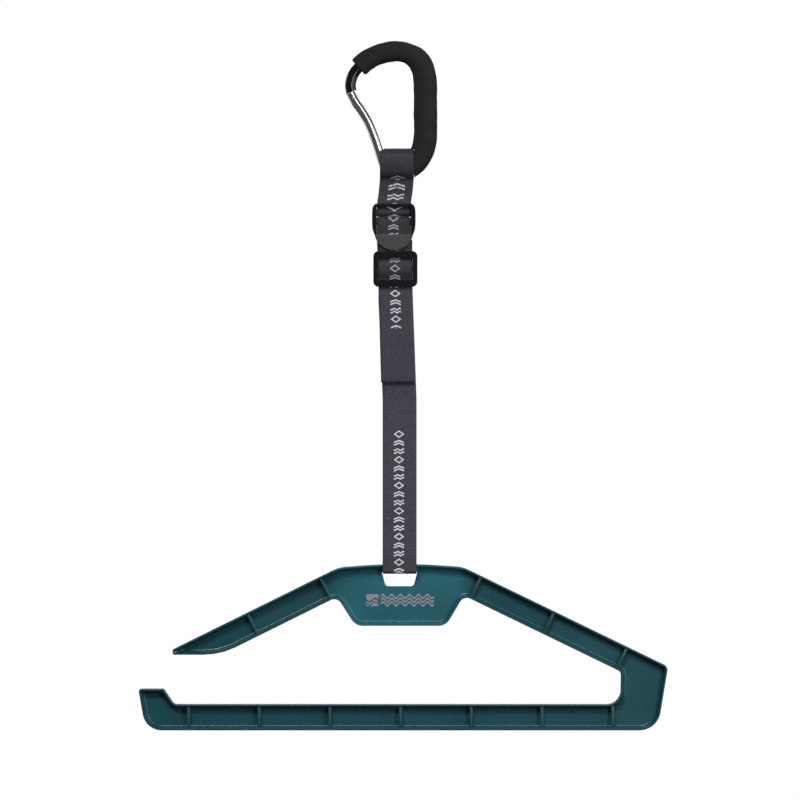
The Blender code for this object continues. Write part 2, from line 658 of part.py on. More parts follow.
def moulding_shell():
    """A rim all round, with a web at half its depth."""
    half = HANGER_DEPTH / 2
    body = plate(rounded_outline(millimetres(HANGER_CORNERS)), half)
    inner = rounded_outline(inset_corners(pocket_corners(), RIM_WALL))
    for side in (-1, 1):
        body = boolean(body, plate(inner, half, side * (WEB_WALL / 2 + half)))
    return body


def upright_rib(x, low_z, high_z):
    half = HANGER_DEPTH / 2 - 0.6 * MM
    return box((x - RIB_WALL / 2, -half, low_z), (x + RIB_WALL / 2, half, high_z))


def arm_rib(x, z, side):
    """A rib square across an arm, centred at (x, z)."""
    half, length = HANGER_DEPTH / 2 - 0.6 * MM, 10.9 * MM
    mesh = box((-RIB_WALL / 2, -half, -length), (RIB_WALL / 2, half, length))
    mesh.transform(Matrix.Translation((x, 0, z)) @ Matrix.Rotation(side * ARM_SLOPE, 4, "Y"))
    return mesh


def make_hanger():
    body = moulding_shell()
    for number in range(-3, 4):
        body = boolean(body, upright_rib(0.3 * MM + number * RIB_PITCH, -592.6 * MM, -571.2 * MM), "UNION")
    for x, z, side in (
        (-66.2, -467.4, -1), (-130.5, -499.6, -1), (67.2, -466.4, 1), (132.2, -498.1, 1), (198.0, -529.3, 1),
    ):
        body = boolean(body, arm_rib(x * MM, z * MM, side), "UNION")
    half = HANGER_DEPTH / 2 - 0.6 * MM
    bar = box((STRAP_X - BAR_HALF, -half, SLOT_TOP_Z), (STRAP_X + BAR_HALF, half, BAR_TOP_Z), BAR_BEVEL)
    body = boolean(body, bar, "UNION")
    slot = [
        (STRAP_X - SLOT_HALF_TOP, SLOT_TOP_Z, 0.6 * MM), (STRAP_X + SLOT_HALF_TOP, SLOT_TOP_Z, 0.6 * MM),
        (STRAP_X + SLOT_HALF_BOTTOM, SLOT_BOTTOM_Z, SLOT_CORNER),
        (STRAP_X - SLOT_HALF_BOTTOM, SLOT_BOTTOM_Z, SLOT_CORNER),
    ]
    body = boolean(body, plate(rounded_outline(slot, 30.0), HANGER_DEPTH))
    finish("hanger_moulding", body, TEAL_PLASTIC)


make_carabiner()
make_gate()
make_anchor_loop()
make_ladder_lock()
make_tri_glide()
make_tail()
make_strands()
make_hanger()
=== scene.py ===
"""Drying hanger on a carabiner strap: the visible surfaces, built round the fixed frame."""

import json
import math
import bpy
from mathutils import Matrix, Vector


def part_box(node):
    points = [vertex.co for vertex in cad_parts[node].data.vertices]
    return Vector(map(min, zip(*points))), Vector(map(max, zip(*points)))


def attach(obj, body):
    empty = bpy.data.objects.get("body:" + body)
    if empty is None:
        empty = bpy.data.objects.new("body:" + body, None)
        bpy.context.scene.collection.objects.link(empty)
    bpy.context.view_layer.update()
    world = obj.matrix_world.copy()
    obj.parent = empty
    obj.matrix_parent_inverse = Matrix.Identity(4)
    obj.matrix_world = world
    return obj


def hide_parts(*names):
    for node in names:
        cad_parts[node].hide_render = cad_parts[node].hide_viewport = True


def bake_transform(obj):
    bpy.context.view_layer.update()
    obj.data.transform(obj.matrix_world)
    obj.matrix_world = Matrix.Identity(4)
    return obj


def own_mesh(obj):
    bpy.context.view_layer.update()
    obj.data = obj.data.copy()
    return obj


bl_info = {
    "name": "Drying hanger",
    "version": (1, 0, 0),
    "blender": (4, 5, 0),
    "location": "View3D > Sidebar > Hanger",
    "description": "Builds a moulded drying hanger, its webbing strap, buckles and carabiner",
    "category": "Add Mesh",
}

import bmesh
import bpy
from bpy.props import FloatProperty, FloatVectorProperty, IntProperty, PointerProperty
from mathutils import Matrix, Vector

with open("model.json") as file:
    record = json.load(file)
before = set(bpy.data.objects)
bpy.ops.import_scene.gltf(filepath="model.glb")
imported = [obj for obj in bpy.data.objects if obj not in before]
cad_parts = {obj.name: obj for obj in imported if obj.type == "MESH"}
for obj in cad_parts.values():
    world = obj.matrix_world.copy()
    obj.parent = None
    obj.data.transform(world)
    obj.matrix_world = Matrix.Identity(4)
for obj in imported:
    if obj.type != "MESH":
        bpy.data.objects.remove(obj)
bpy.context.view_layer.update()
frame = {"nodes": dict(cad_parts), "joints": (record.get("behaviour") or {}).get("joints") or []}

MM = 0.001


def node_box(name):
    low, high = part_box(name)
    return Vector(low), Vector(high)


def joint_place(name):
    return Vector(next(joint for joint in frame["joints"] if joint["name"] == name)["pos_m"])


# Places and boxes read from the frame
HINGE = joint_place("gate_hinge")
CROSSBAR = joint_place("ladder_lock_tilt")
LOCKBAR = joint_place("strap_turn_at_lock_bar")
LATCH_PIN = sum(node_box("latch_pin"), Vector()) / 2
LOOP_LOW, LOOP_HIGH = node_box("anchor_loop")
LOCK_LOW, LOCK_HIGH = node_box("ladder_lock_buckle")
GLIDE_LOW, GLIDE_HIGH = node_box("tri_glide_buckle")
TAIL_LOW, TAIL_HIGH = node_box("strap_tail")
HANGER_HIGH = node_box("hanger_moulding")[1]
SLING_LOW, SLING_HIGH = node_box("lower_loop")
LOOP_X = (LOOP_LOW.x + LOOP_HIGH.x) / 2
LOCK_X = (LOCK_LOW.x + LOCK_HIGH.x) / 2
GLIDE_X = (GLIDE_LOW.x + GLIDE_HIGH.x) / 2
GLIDE_Z = (GLIDE_LOW.z + GLIDE_HIGH.z) / 2
STRAP_X = (SLING_LOW.x + SLING_HIGH.x) / 2

# Levels at which the two strands pass from one body to the next
SLIDE_SPLIT_Z = -0.300
SWING_SPLIT_Z = -0.400
SLING_TOP_Z = SLING_HIGH.z


def length(label, told, default):
    return FloatProperty(name=label, description=told, default=default, unit="LENGTH")


def colour(label, told, default):
    return FloatVectorProperty(name=label, description=told, default=default, subtype="COLOR")


class HangerSizes(bpy.types.PropertyGroup):
    web_thick: length("Webbing thickness", "Thickness of the webbing", 1.5 * MM)
    web_width: length("Webbing width", "Width of the webbing", SLING_HIGH.x - SLING_LOW.x)
    rod_radius: length("Rod radius", "Radius of the carabiner's rod", 4.8 * MM)
    gate_radius: length("Gate radius", "Radius of the gate's rod", 4.0 * MM)
    foam_top: length("Foam radius, top", "Radius of the foam over the top", 9.1 * MM)
    foam_side: length("Foam radius, side", "Radius of the foam along the side", 10.4 * MM)
    rim_wall: length("Rim wall", "Wall of the hanger's rim", 2.5 * MM)
    web_wall: length("Web wall", "Wall of the hanger's middle web", 2.8 * MM)
    rib_wall: length("Rib wall", "Wall of the hanger's ribs", 2.4 * MM)
    rib_pitch: length("Rib pitch", "Distance between the lower bar's ribs", 62.7 * MM)
    bar_ribs: IntProperty(name="Bar ribs", description="Number of ribs in the lower bar", default=7)
    stitch: length("Stitch length", "Length of one stitch", 2.3 * MM)


class HangerColours(bpy.types.PropertyGroup):
    moulding: colour("Moulding", "Colour of the hanger", (0.010, 0.083, 0.104))
    webbing: colour("Webbing", "Colour of the webbing", (0.033, 0.029, 0.046))
    ink: colour("Ink", "Colour of the print on the webbing", (0.78, 0.76, 0.8))
    foam: colour("Foam", "Colour of the foam grip", (0.012, 0.011, 0.01))
    buckle: colour("Buckles", "Colour of the buckles", (0.008, 0.008, 0.009))


# Node expressions


def wired(operation):
    """A Python operator that makes a Math node."""
    return lambda *sides: sides[0].finish.maths(operation, *sides)


class Wire:
    """A shader socket that can be used in Python sums."""

    def __init__(self, finish, socket):
        self.finish = finish
        self.socket = socket

    def __rsub__(self, other):
        return self.finish.maths("SUBTRACT", other, self)

    __add__ = __radd__ = wired("ADD")
    __sub__ = wired("SUBTRACT")
    __mul__ = __rmul__ = wired("MULTIPLY")
    __truediv__ = wired("DIVIDE")
    __lt__ = wired("LESS_THAN")
    __gt__ = wired("GREATER_THAN")
    __abs__ = wired("ABSOLUTE")


class Finish:
    """A material under construction, with its Principled shader."""

    def __init__(self, name, **sockets):
        self.material = bpy.data.materials.new(name)
        self.material.use_nodes = True
        self.tree = self.material.node_tree
        self.shader = self.tree.nodes["Principled BSDF"]
        self.set(**sockets)

    def feed(self, socket, value):
        """Link a wire to a socket, or set its value."""
        if isinstance(value, Wire):
            self.tree.links.new(value.socket, socket)
        elif hasattr(value, "__len__") and len(value) == 3 and socket.type == "RGBA":
            socket.default_value = (*value, 1.0)
        else:
            socket.default_value = value

    def set(self, **sockets):
        """Feed the shader's inputs, named with underscores for spaces."""
        for name, value in sockets.items():
            self.feed(self.shader.inputs[name.replace("_", " ")], value)

    def node(self, kind, settings=(), values=(), output=0):
        """A shader node with its settings and inputs, as the wire of one output."""
        made = self.tree.nodes.new(kind)
        for name, value in dict(settings).items():
            setattr(made, name, value)
        for name, value in dict(values).items():
            self.feed(made.inputs[name], value)
        return Wire(self, made.outputs[output])

    def maths(self, operation, *values):
        return self.node("ShaderNodeMath", {"operation": operation}, enumerate(values))

    def sine(self, value):
        return self.maths("SINE", value)

    def place(self, kind="Object"):
        """The X, Y and Z of the object's own coordinates, or U and V of its map."""
        coordinates = self.node("ShaderNodeTexCoord", output=kind)
        return [self.node("ShaderNodeSeparateXYZ", (), {0: coordinates}, axis) for axis in range(3)]

    def noise(self, scale, detail=3.0, stretch=(1, 1, 1)):
        """Cloudy noise from 0 to 1, finer with scale."""
        points = self.node("ShaderNodeTexCoord", output="Object")
        points = self.node("ShaderNodeMapping", (), {"Vector": points, "Scale": stretch})
        return self.node("ShaderNodeTexNoise", (), {"Vector": points, "Scale": scale, "Detail": detail})

    def cells(self, scale):
        points = self.node("ShaderNodeTexCoord", output="Object")
        return self.node("ShaderNodeTexVoronoi", (), {"Vector": points, "Scale": scale})

    def mix(self, factor, first, second):
        values = {0: factor, 6: first, 7: second}
        return self.node("ShaderNodeMix", {"data_type": "RGBA"}, values, 2)

    def bump(self, height, distance, strength=1.0):
        values = {"Height": height, "Distance": distance, "Strength": strength}
        self.set(Normal=self.node("ShaderNodeBump", (), values))


def foam_finish(colours):
    """Closed-cell foam: matt, with fine pores and a slight skin."""
    finish = Finish("foam_skin", Roughness=0.92)
    cloud, grain = finish.noise(90.0), finish.noise(2600.0, 2.0)
    shade = tuple(2.1 * part for part in colours.foam)
    finish.set(Base_Color=finish.mix(cloud, colours.foam, shade))
    finish.set(Specular_IOR_Level=0.25)
    finish.bump(finish.cells(1500.0) * 0.5 + grain, 0.10 * MM, 0.7)
    return finish.material


def anodised_finish():
    """Black anodised rod, glossy, with a faintly uneven skin."""
    finish = Finish("black_anodised_rod", Base_Color=(0.005, 0.005, 0.006))
    finish.set(Roughness=finish.noise(700.0) * 0.08 + 0.07)
    finish.bump(finish.noise(3000.0, 2.0), 0.01 * MM, 0.3)
    return finish.material


def aluminium_finish():
    """Polished rod with faint drawing lines along it."""
    finish = Finish("polished_aluminium", Metallic=1.0)
    streaks = finish.noise(500.0, 3.0, (1.0, 6.0, 1.0))
    finish.set(Base_Color=finish.mix(streaks, (0.60, 0.60, 0.57), (0.84, 0.84, 0.80)))
    finish.set(Roughness=streaks * 0.16 + 0.12)
    finish.bump(streaks, 0.012 * MM, 0.4)
    return finish.material


def steel_finish():
    """Bright turned steel of the pins and the spring."""
    finish = Finish("bright_steel", Metallic=1.0)
    cloud = finish.noise(900.0)
    finish.set(Base_Color=finish.mix(cloud, (0.42, 0.42, 0.43), (0.62, 0.62, 0.62)))
    finish.set(Roughness=cloud * 0.2 + 0.18)
    return finish.material


def acetal_finish(name, colours, matt_below=None):
    """Glossy moulded acetal; the thumb tab below a level is matt and textured."""
    finish = Finish(name, Base_Color=colours.buckle)
    cloud, grain = finish.noise(160.0), finish.noise(2400.0, 2.0)
    gloss = cloud * 0.08 + 0.10
    if matt_below is None:
        finish.set(Roughness=gloss)
        finish.bump(cloud, 0.02 * MM, 0.4)
        return finish.material
    tab = finish.place()[2] < matt_below
    finish.set(Base_Color=finish.mix(tab, colours.buckle, (0.040, 0.038, 0.039)))
    finish.set(Roughness=gloss + tab * 0.42)
    finish.bump(grain * tab + cloud * 0.2, 0.05 * MM, 0.5)
    return finish.material


def thread_finish():
    """Bonded thread: twisted plies across each stitch."""
    finish = Finish("bonded_thread", Roughness=0.55)
    twist = finish.noise(1800.0, 2.0)
    finish.set(Base_Color=finish.mix(twist, (0.010, 0.010, 0.012), (0.05, 0.048, 0.055)))
    finish.bump(twist, 0.05 * MM, 0.6)
    return finish.material


def motif(finish, along, across, half_height, pitch):
    """A plain row of diamonds, chevrons and double waves, one to each pitch, along the webbing."""
    line = 0.19  # half the width of a drawn line, as a share of the half pitch
    step = along / pitch
    number = finish.maths("FLOOR", step)
    turn = finish.maths("FLOORED_MODULO", number, 3.0)
    a = (step - number - 0.5) * 2.35
    b = across / half_height
    within = abs(b) < 1.0
    diamond = abs(abs(a) + abs(b) - 0.84) < line
    chevrons = (abs(abs(a - abs(b) * 0.55 + 0.22) - 0.36) < line) * within
    waves = (abs(abs(a - finish.sine(b * 6.0) * 0.2) - 0.4) < line) * within
    first = turn < 0.5
    last = turn > 1.5
    return diamond * first + chevrons * (1.0 - first) * (1.0 - last) + waves * last


def webbing_finish(name, colours, print_zone=None, depth=1.0):
    """Woven polyester: cross ribs and chevrons in relief with painted shade in their grooves, and an ink
    motif along a stretch.
    """
    finish = Finish(name)
    u, v, _ = finish.place("UV")
    weft = finish.sine(v * (2 * math.pi / (1.3 * MM)))
    warp = finish.sine(u * (2 * math.pi / (1.15 * MM)) + abs(finish.sine(v * (math.pi / (1.9 * MM)))) * 2.0)
    fibre, cloud = finish.noise(1100.0, 3.0), finish.noise(110.0, 2.0)
    relief = weft * 0.30 + warp * 0.30 + fibre * 0.9
    # depth darkens the whole cloth: the sewn loop gets a darker tone, and the webbing inside the buckles gets
    # painted shade
    dark = tuple(0.62 * depth * part for part in colours.webbing)
    light = tuple(2.4 * depth * part for part in colours.webbing)
    # Painted shade: the colour is lighter where the weave stands up and darker in its grooves; the fibre
    # noise adds the yarn's own speckle
    weave_shade_and_speckle = relief * 0.75 + fibre * 2.4 - 1.32
    cloth = finish.mix(finish.maths("MULTIPLY", weave_shade_and_speckle, cloud * 1.1 + 0.45), dark, light)
    if print_zone:
        start, end, centre, half_height, pitch, opacity = print_zone
        inside = (v > start) * (v < end)
        ink = motif(finish, v - start, u - centre, half_height, pitch) * inside
        worn = ink * (fibre > 0.36) * opacity
        cloth = finish.mix(worn, cloth, colours.ink)
    finish.set(Base_Color=cloth, Roughness=cloud * 0.14 + 0.62)
    finish.set(Sheen_Weight=0.06, Sheen_Roughness=0.4)
    finish.bump(relief, 0.11 * MM, 0.8)
    return finish.material


def moulding_finish(colours):
    """Glossy polypropylene with faint flow marks, fine scuffs, a printed badge and waves, and painted shade
    on the arms and the lower bar.
    """
    finish = Finish("teal_moulding")
    x, y, z = finish.place()
    flow, fine = finish.noise(14.0, 2.0, (1.0, 1.0, 2.4)), finish.noise(1300.0, 2.0)
    deep = tuple(0.9 * part for part in colours.moulding)
    pale = tuple(1.9 * part + 0.006 for part in colours.moulding)
    paint = finish.mix(flow, deep, pale)
    # Painted shade: past the middle block, and below a level for the lower bar, the web's colour is darkened
    # for the shade in the pockets
    block_half, fade, painted_shade_below_z = 50 * MM, 16 * MM, -520 * MM
    painted_arm_shade = finish.maths("MINIMUM", (abs(x) - block_half) / fade, 1.0) * (abs(x) > block_half)
    painted_arm_shade = finish.maths("MAXIMUM", painted_arm_shade, z < painted_shade_below_z)
    arms = tuple(0.66 * part for part in deep)
    paint = finish.mix(painted_arm_shade * 0.75, paint, arms)
    badge_x, badge_z, badge_half = -24.5 * MM, HANGER_HIGH.z - 32.2 * MM, 5.3 * MM
    row_x, wave_length, waves = -17.2 * MM, 7.9 * MM, 6.0
    a = (x - badge_x) / badge_half
    b = (z - badge_z) / badge_half
    crest = finish.sine(a * 3.4) * 0.28
    badge = (abs(a) < 1.0) * (abs(b) < 1.0)
    badge = badge * (1.0 - (abs(b - crest) < 0.16)) * (1.0 - (abs(b - crest + 0.55) < 0.12))
    steps = (x - row_x) / wave_length
    swell = finish.sine(steps * (2 * math.pi)) * 0.3
    strokes = sum((abs(b - swell - offset) < 0.17) for offset in (-0.62, 0.0, 0.62))
    row = strokes * (steps > 0.0) * (steps < waves)
    ink = (badge + row) * (y < 0.0) * (abs(b) < 1.15)
    paint = finish.mix(finish.maths("MINIMUM", ink, 1.0), paint, (0.30, 0.28, 0.31))
    finish.set(Base_Color=paint, Roughness=flow * 0.10 + fine * 0.12 + 0.17)
    finish.bump(flow * 0.6 + fine * 0.05, 0.12 * MM, 0.25)
    return finish.material


# Meshes


def add_piece(name, mesh, *materials):
    made = bpy.data.objects.new(name, mesh)
    bpy.context.scene.collection.objects.link(made)
    for material in materials:
        mesh.materials.append(material)
    return made


def settle(made, body, node=None):
    """Put a piece in its body, and hide the frame's node that it stands for."""
    if node:
        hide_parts(node)
    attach(made, body)
    return made


def applied(made):
    """The mesh of an object with its modifiers applied; the object is removed."""
    bpy.context.view_layer.update()
    mesh = bpy.data.meshes.new_from_object(made.evaluated_get(bpy.context.evaluated_depsgraph_get()))
    mesh.transform(made.matrix_world)
    bpy.data.objects.remove(made, do_unlink=True)
    return mesh


def shade(mesh, angle):
    """Smooth shading, broken at edges sharper than the angle."""
    mesh.shade_smooth()
    mesh.set_sharp_from_angle(angle=math.radians(angle))
    return mesh


def shade_moulded(mesh, angle=40.0):
    """Smooth shading whose flat faces stay flat beside their rounded edges."""
    body = add_piece("work", shade(mesh, angle))
    body.modifiers.new("flat_faces", "WEIGHTED_NORMAL").keep_sharp = True
    return applied(body)


def mesh_from(build, name="shape"):
    """A new mesh from a function that fills an empty bmesh."""
    work = bmesh.new()
    build(work)
    bmesh.ops.recalc_face_normals(work, faces=work.faces)
    mesh = bpy.data.meshes.new(name)
    work.to_mesh(mesh)
    work.free()
    return mesh


def reworked(mesh, change):
    """The same mesh after a function has changed it as a bmesh."""
    work = bmesh.new()
    work.from_mesh(mesh)
    change(work)
    work.to_mesh(mesh)
    work.free()
    return mesh


def cleaned(made, dissolve=False):
    """An object's applied mesh with its doubled points merged."""

    def clean(work):
        bmesh.ops.remove_doubles(work, verts=work.verts, dist=0.004 * MM)
        if dissolve:
            bmesh.ops.dissolve_limit(work, angle_limit=math.radians(0.1), verts=work.verts, edges=work.edges)

    return reworked(applied(made), clean)


def boolean(mesh, other, operation="DIFFERENCE"):
    """A solid from two others: their difference, union or intersection."""
    body, tool = add_piece("work", mesh), add_piece("tool", other)
    modifier = body.modifiers.new("cut", "BOOLEAN")
    modifier.operation = operation
    modifier.object = tool
    result = cleaned(body)
    bpy.data.objects.remove(tool, do_unlink=True)
    result.materials.clear()
    return result


def cut(mesh, *tools):
    """A mesh with each of the tools taken out of it, in order."""
    for tool in tools:
        mesh = boolean(mesh, tool)
    return mesh


def round_edges(work, edges, width, segments=3, **settings):
    settings = {"affect": "EDGES", "profile": 0.5, **settings}
    bmesh.ops.bevel(work, geom=edges, offset=width, segments=segments, **settings)


def box(low, high, bevel=0.0):
    """A block between two corners, with its edges rounded by the bevel."""
    low, high = Vector(low), Vector(high)

    def build(work):
        made = bmesh.ops.create_cube(work, size=1.0)
        bmesh.ops.scale(work, vec=high - low, verts=made["verts"])
        bmesh.ops.translate(work, vec=(high + low) / 2, verts=made["verts"])
        if bevel:
            round_edges(work, work.edges[:], bevel)

    return mesh_from(build)


def cylinder(centre, radius, half_length, axis="Y", sides=48):
    """A round pin or hole along X or Y."""
    turn = {"X": Matrix.Rotation(math.pi / 2, 3, "Y"), "Y": Matrix.Rotation(math.pi / 2, 3, "X")}[axis]

    def build(work):
        bmesh.ops.create_cone(
            work, cap_ends=True, segments=sides, radius1=radius, radius2=radius, depth=2 * half_length
        )
        bmesh.ops.rotate(work, matrix=turn, verts=work.verts)
        bmesh.ops.translate(work, vec=centre, verts=work.verts)

    return mesh_from(build)


def loft(rings, uvs=None, name="loft"):
    """A closed skin through rings of points, with its two ends filled."""
    count = len(rings[0])

    def build(work):
        layer = work.loops.layers.uv.new("UVMap")
        rows = [[work.verts.new(point) for point in ring] for ring in rings]
        patches = [
            [(row, side), (row + 1, side), (row + 1, (side + 1) % count), (row, (side + 1) % count)]
            for row in range(len(rows) - 1)
            for side in range(count)
        ]
        patches += [[(row, side) for side in range(count)] for row in (0, len(rows) - 1)]
        for patch in patches:
            face = work.faces.new([rows[row][side] for row, side in patch])
            if uvs:
                for loop, (row, side) in zip(face.loops, patch):
                    loop[layer].uv = uvs[row][side]

    return mesh_from(build, name)


def smooth_path(points, steps):
    """Points on a Catmull-Rom curve through the given points."""
    points = [Vector(point) for point in points]
    padded = [2 * points[0] - points[1], *points, 2 * points[-1] - points[-2]]
    route = []
    for before, start, end, after in zip(padded, padded[1:], padded[2:], padded[3:]):
        for step in range(steps):
            t = step / steps
            curve = 2 * start + (end - before) * t
            curve += (2 * before - 5 * start + 4 * end - after) * t**2
            curve += (3 * start - before - 3 * end + after) * t**3
            route.append(curve * 0.5)
    return [*route, points[-1]]


def evenly(route, pitch):
    """The same route with points a pitch apart."""
    lengths = [0.0]
    for start, end in zip(route, route[1:]):
        lengths.append(lengths[-1] + (end - start).length)
    count = max(2, round(lengths[-1] / pitch))
    placed, leg = [], 0
    for number in range(count + 1):
        wanted = lengths[-1] * number / count
        while leg < len(route) - 2 and lengths[leg + 1] < wanted:
            leg += 1
        share = (wanted - lengths[leg]) / (lengths[leg + 1] - lengths[leg])
        placed.append(route[leg].lerp(route[leg + 1], share))
    return placed


def tangents(route):
    """The direction of a route at each of its points."""
    ends = [route[0], *route, route[-1]]
    return [(after - before).normalized() for before, after in zip(ends, ends[2:])]


def round_bar(route, radius, sides=40):
    """A round bar along a route in the XZ plane; radius is a number or a function of the share along it."""
    across = Vector((0, 1, 0))
    rings = []
    for number, (point, along) in enumerate(zip(route, tangents(route))):
        size = radius(number / (len(route) - 1)) if callable(radius) else radius
        up = along.cross(across)
        rings.append(
            [
                point + (across * math.cos(angle) + up * math.sin(angle)) * size
                for angle in (2 * math.pi * side / sides for side in range(sides))
            ]
        )
    return loft(rings)


def sweep(first, last, steps):
    """Angles from the first to the last, in degrees, at even steps."""
    return [math.radians(first + (last - first) * step / steps) for step in range(steps + 1)]


def mirrored(points):
    """The same points on the other side of the middle plane, in reverse."""
    return [Vector((point.x, -point.y, point.z)) for point in reversed(points)]


def webbing(name, node, route, sizes, finish, body=None, v_start=0.0, shape=None, held="hung"):
    """A strip of webbing along its middle line, with round selvedges and small loops along its edges."""
    pitch, scallop, scallop_pitch, edge_band = 0.65 * MM, 0.14 * MM, 2.7 * MM, 2.5 * MM
    route = evenly(route, pitch)
    half, thick = sizes.web_width / 2, sizes.web_thick / 2
    columns, corner = 12, 5
    flat = 2 * half - 2 * thick
    section = [(-half + thick + flat * step / columns, thick) for step in range(columns + 1)]
    turn = sweep(90, -90, corner)[1:-1]
    section += [(half - thick + thick * math.cos(angle), thick * math.sin(angle)) for angle in turn]
    section += [(-across, -up) for across, up in section]
    rings, uvs, run = [], [], v_start
    last = route[0]
    for point, along in zip(route, tangents(route)):
        run += (point - last).length
        last = point
        out = Vector((0, along.z, -along.y)).normalized()
        swell = scallop * math.sin(2 * math.pi * run / scallop_pitch)
        ring = []
        for across, up in section:
            edge = max(0.0, abs(across) - (half - edge_band)) / edge_band
            sideways = Vector((across + math.copysign(edge * swell, across), 0, 0))
            place = point + sideways + out * up * (1 - 0.18 * edge)
            ring.append(shape(place) if shape else place)
        rings.append(ring)
        uvs.append([(across, run) for across, _ in section])
    made = add_piece(name, shade(loft(rings, uvs, name), 50.0), finish)
    run - v_start
    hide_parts(node)
    if body:
        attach(made, body)
    return made, run


def rounded_outline(corners, turn_step=9.0):
    """A closed outline from its corners (x, z, radius), each as an arc."""
    outline = []
    for number, (x, z, radius) in enumerate(corners):
        here = Vector((x, z))
        before = (Vector(corners[number - 1][:2]) - here).normalized()
        after = (Vector(corners[(number + 1) % len(corners)][:2]) - here).normalized()
        turn = math.pi - before.angle(after)
        reach = radius * math.tan(turn / 2)
        middle = here + (before + after).normalized() * (radius / math.cos(turn / 2))
        first, second = here + before * reach - middle, here + after * reach - middle
        steps = max(2, math.ceil(math.degrees(turn) / turn_step))
        for step in range(steps + 1):
            swept = turn * step / steps
            spoke = (first * math.sin(turn - swept) + second * math.sin(swept)) / math.sin(turn)
            outline.append(tuple(middle + spoke))
    return outline


def plate(outline, front_y, back_y):
    """A flat plate between two levels of Y from a closed outline."""
    curve = bpy.data.curves.new("plate", "CURVE")
    curve.dimensions = "2D"
    curve.fill_mode = "BOTH"
    curve.extrude = (back_y - front_y) / 2
    spline = curve.splines.new("POLY")
    spline.points.add(len(outline) - 1)
    for number, (x, z) in enumerate(outline):
        spline.points[number].co = (x, z, 0.0, 1.0)
    spline.use_cyclic_u = True
    made = add_piece("plate", curve)
    made.rotation_euler = (math.pi / 2, 0.0, 0.0)
    made.location = (0.0, (front_y + back_y) / 2, 0.0)
    return cleaned(made, dissolve=True)


def round_sharp(mesh, degrees, width, segments=3):
    """Round the edges sharper than an angle in degrees."""

    def change(work):
        least = math.radians(degrees)
        edges = [edge for edge in work.edges if edge.is_manifold and edge.calc_face_angle(0.0) > least]
        round_edges(work, edges, width, segments, clamp_overlap=True)

    return reworked(mesh, change)


def inset_corners(corners, wall):
    """The corners of a clockwise outline moved inwards by a wall."""
    moved = []
    for number, (x, z, radius) in enumerate(corners):
        here = Vector((x, z))
        into = (here - Vector(corners[number - 1][:2])).normalized()
        out_of = (Vector(corners[(number + 1) % len(corners)][:2]) - here).normalized()
        normals = Vector((into.y, -into.x)), Vector((out_of.y, -out_of.x))
        shift = (normals[0] + normals[1]) * wall / (1 + normals[0].dot(normals[1]))
        turns_in = into.cross(out_of) < 0
        moved.append((x + shift.x, z + shift.y, max(0.8 * MM, radius - wall if turns_in else radius + wall)))
    return moved


def stepped(corners, levels):
    """A solid through the levels of Y, with the corners inset by its own amount at each."""
    outlines = [(y, rounded_outline(inset_corners(corners, inset))) for y, inset in levels]
    return loft([[Vector((x, y, z)) for x, z in outline] for y, outline in outlines])


def quarter(steps=4):
    """The sine and cosine at steps of a quarter turn."""
    angles = [math.pi / 2 * step / steps for step in range(steps + 1)]
    return [(math.sin(angle), math.cos(angle)) for angle in angles]


# Geometry Nodes


def new_tree(name, inputs):
    """An empty node tree with a geometry input and output, and other inputs by name and kind."""
    tree = bpy.data.node_groups.new(name, "GeometryNodeTree")
    tree.interface.new_socket("Geometry", in_out="INPUT", socket_type="NodeSocketGeometry")
    tree.interface.new_socket("Geometry", in_out="OUTPUT", socket_type="NodeSocketGeometry")
    for label, kind in inputs:
        tree.interface.new_socket(label, in_out="INPUT", socket_type="NodeSocket" + kind)
    return tree


def tree_node(tree, kind, settings=(), links=()):
    """A node with its settings, and its inputs linked to sockets or set to values."""
    made = tree.nodes.new(kind)
    for name, value in dict(settings).items():
        setattr(made, name, value)
    for name, source in dict(links).items():
        if isinstance(source, bpy.types.NodeSocket):
            tree.links.new(source, made.inputs[name])
        else:
            made.inputs[name].default_value = source
    return made


def close_tree(tree, group, source):
    """End a tree: real geometry, shaded smooth, with the material it was given."""
    real = tree_node(tree, "GeometryNodeRealizeInstances", (), {0: source})
    smooth = tree_node(tree, "GeometryNodeSetShadeSmooth", (), {0: real.outputs[0]})
    painted = tree_node(
        tree, "GeometryNodeSetMaterial", (), {0: smooth.outputs[0], "Material": group.outputs["Material"]}
    )
    tree_node(tree, "NodeGroupOutput", (), {0: painted.outputs[0]})
    return tree


def beads_tree():
    """Rounded beads at a pitch along the edges of the input mesh, such as stitches or grip ridges."""
    sizes = [(label, "Float") for label in ("Pitch", "Length", "Width", "Height")]
    tree = new_tree("beads_along_a_line", [*sizes, ("Material", "Material")])
    group = tree_node(tree, "NodeGroupInput")
    line = tree_node(tree, "GeometryNodeMeshToCurve", (), {0: group.outputs["Geometry"]})
    values = {0: line.outputs[0], "Length": group.outputs["Pitch"]}
    even = tree_node(tree, "GeometryNodeResampleCurve", {"mode": "LENGTH"}, values)
    tangent = tree_node(tree, "GeometryNodeInputTangent")
    turn = tree_node(tree, "FunctionNodeAlignRotationToVector", {"axis": "X"}, {"Vector": tangent.outputs[0]})
    ball = tree_node(tree, "GeometryNodeMeshUVSphere", (), {"Segments": 10, "Rings": 6, "Radius": 0.5})
    values = {axis: group.outputs[label] for axis, label in zip("XYZ", ("Length", "Width", "Height"))}
    size = tree_node(tree, "ShaderNodeCombineXYZ", (), values)
    sources = {"Points": even, "Instance": ball, "Rotation": turn, "Scale": size}
    values = {label: source.outputs[0] for label, source in sources.items()}
    placed = tree_node(tree, "GeometryNodeInstanceOnPoints", (), values)
    return close_tree(tree, group, placed.outputs[0])


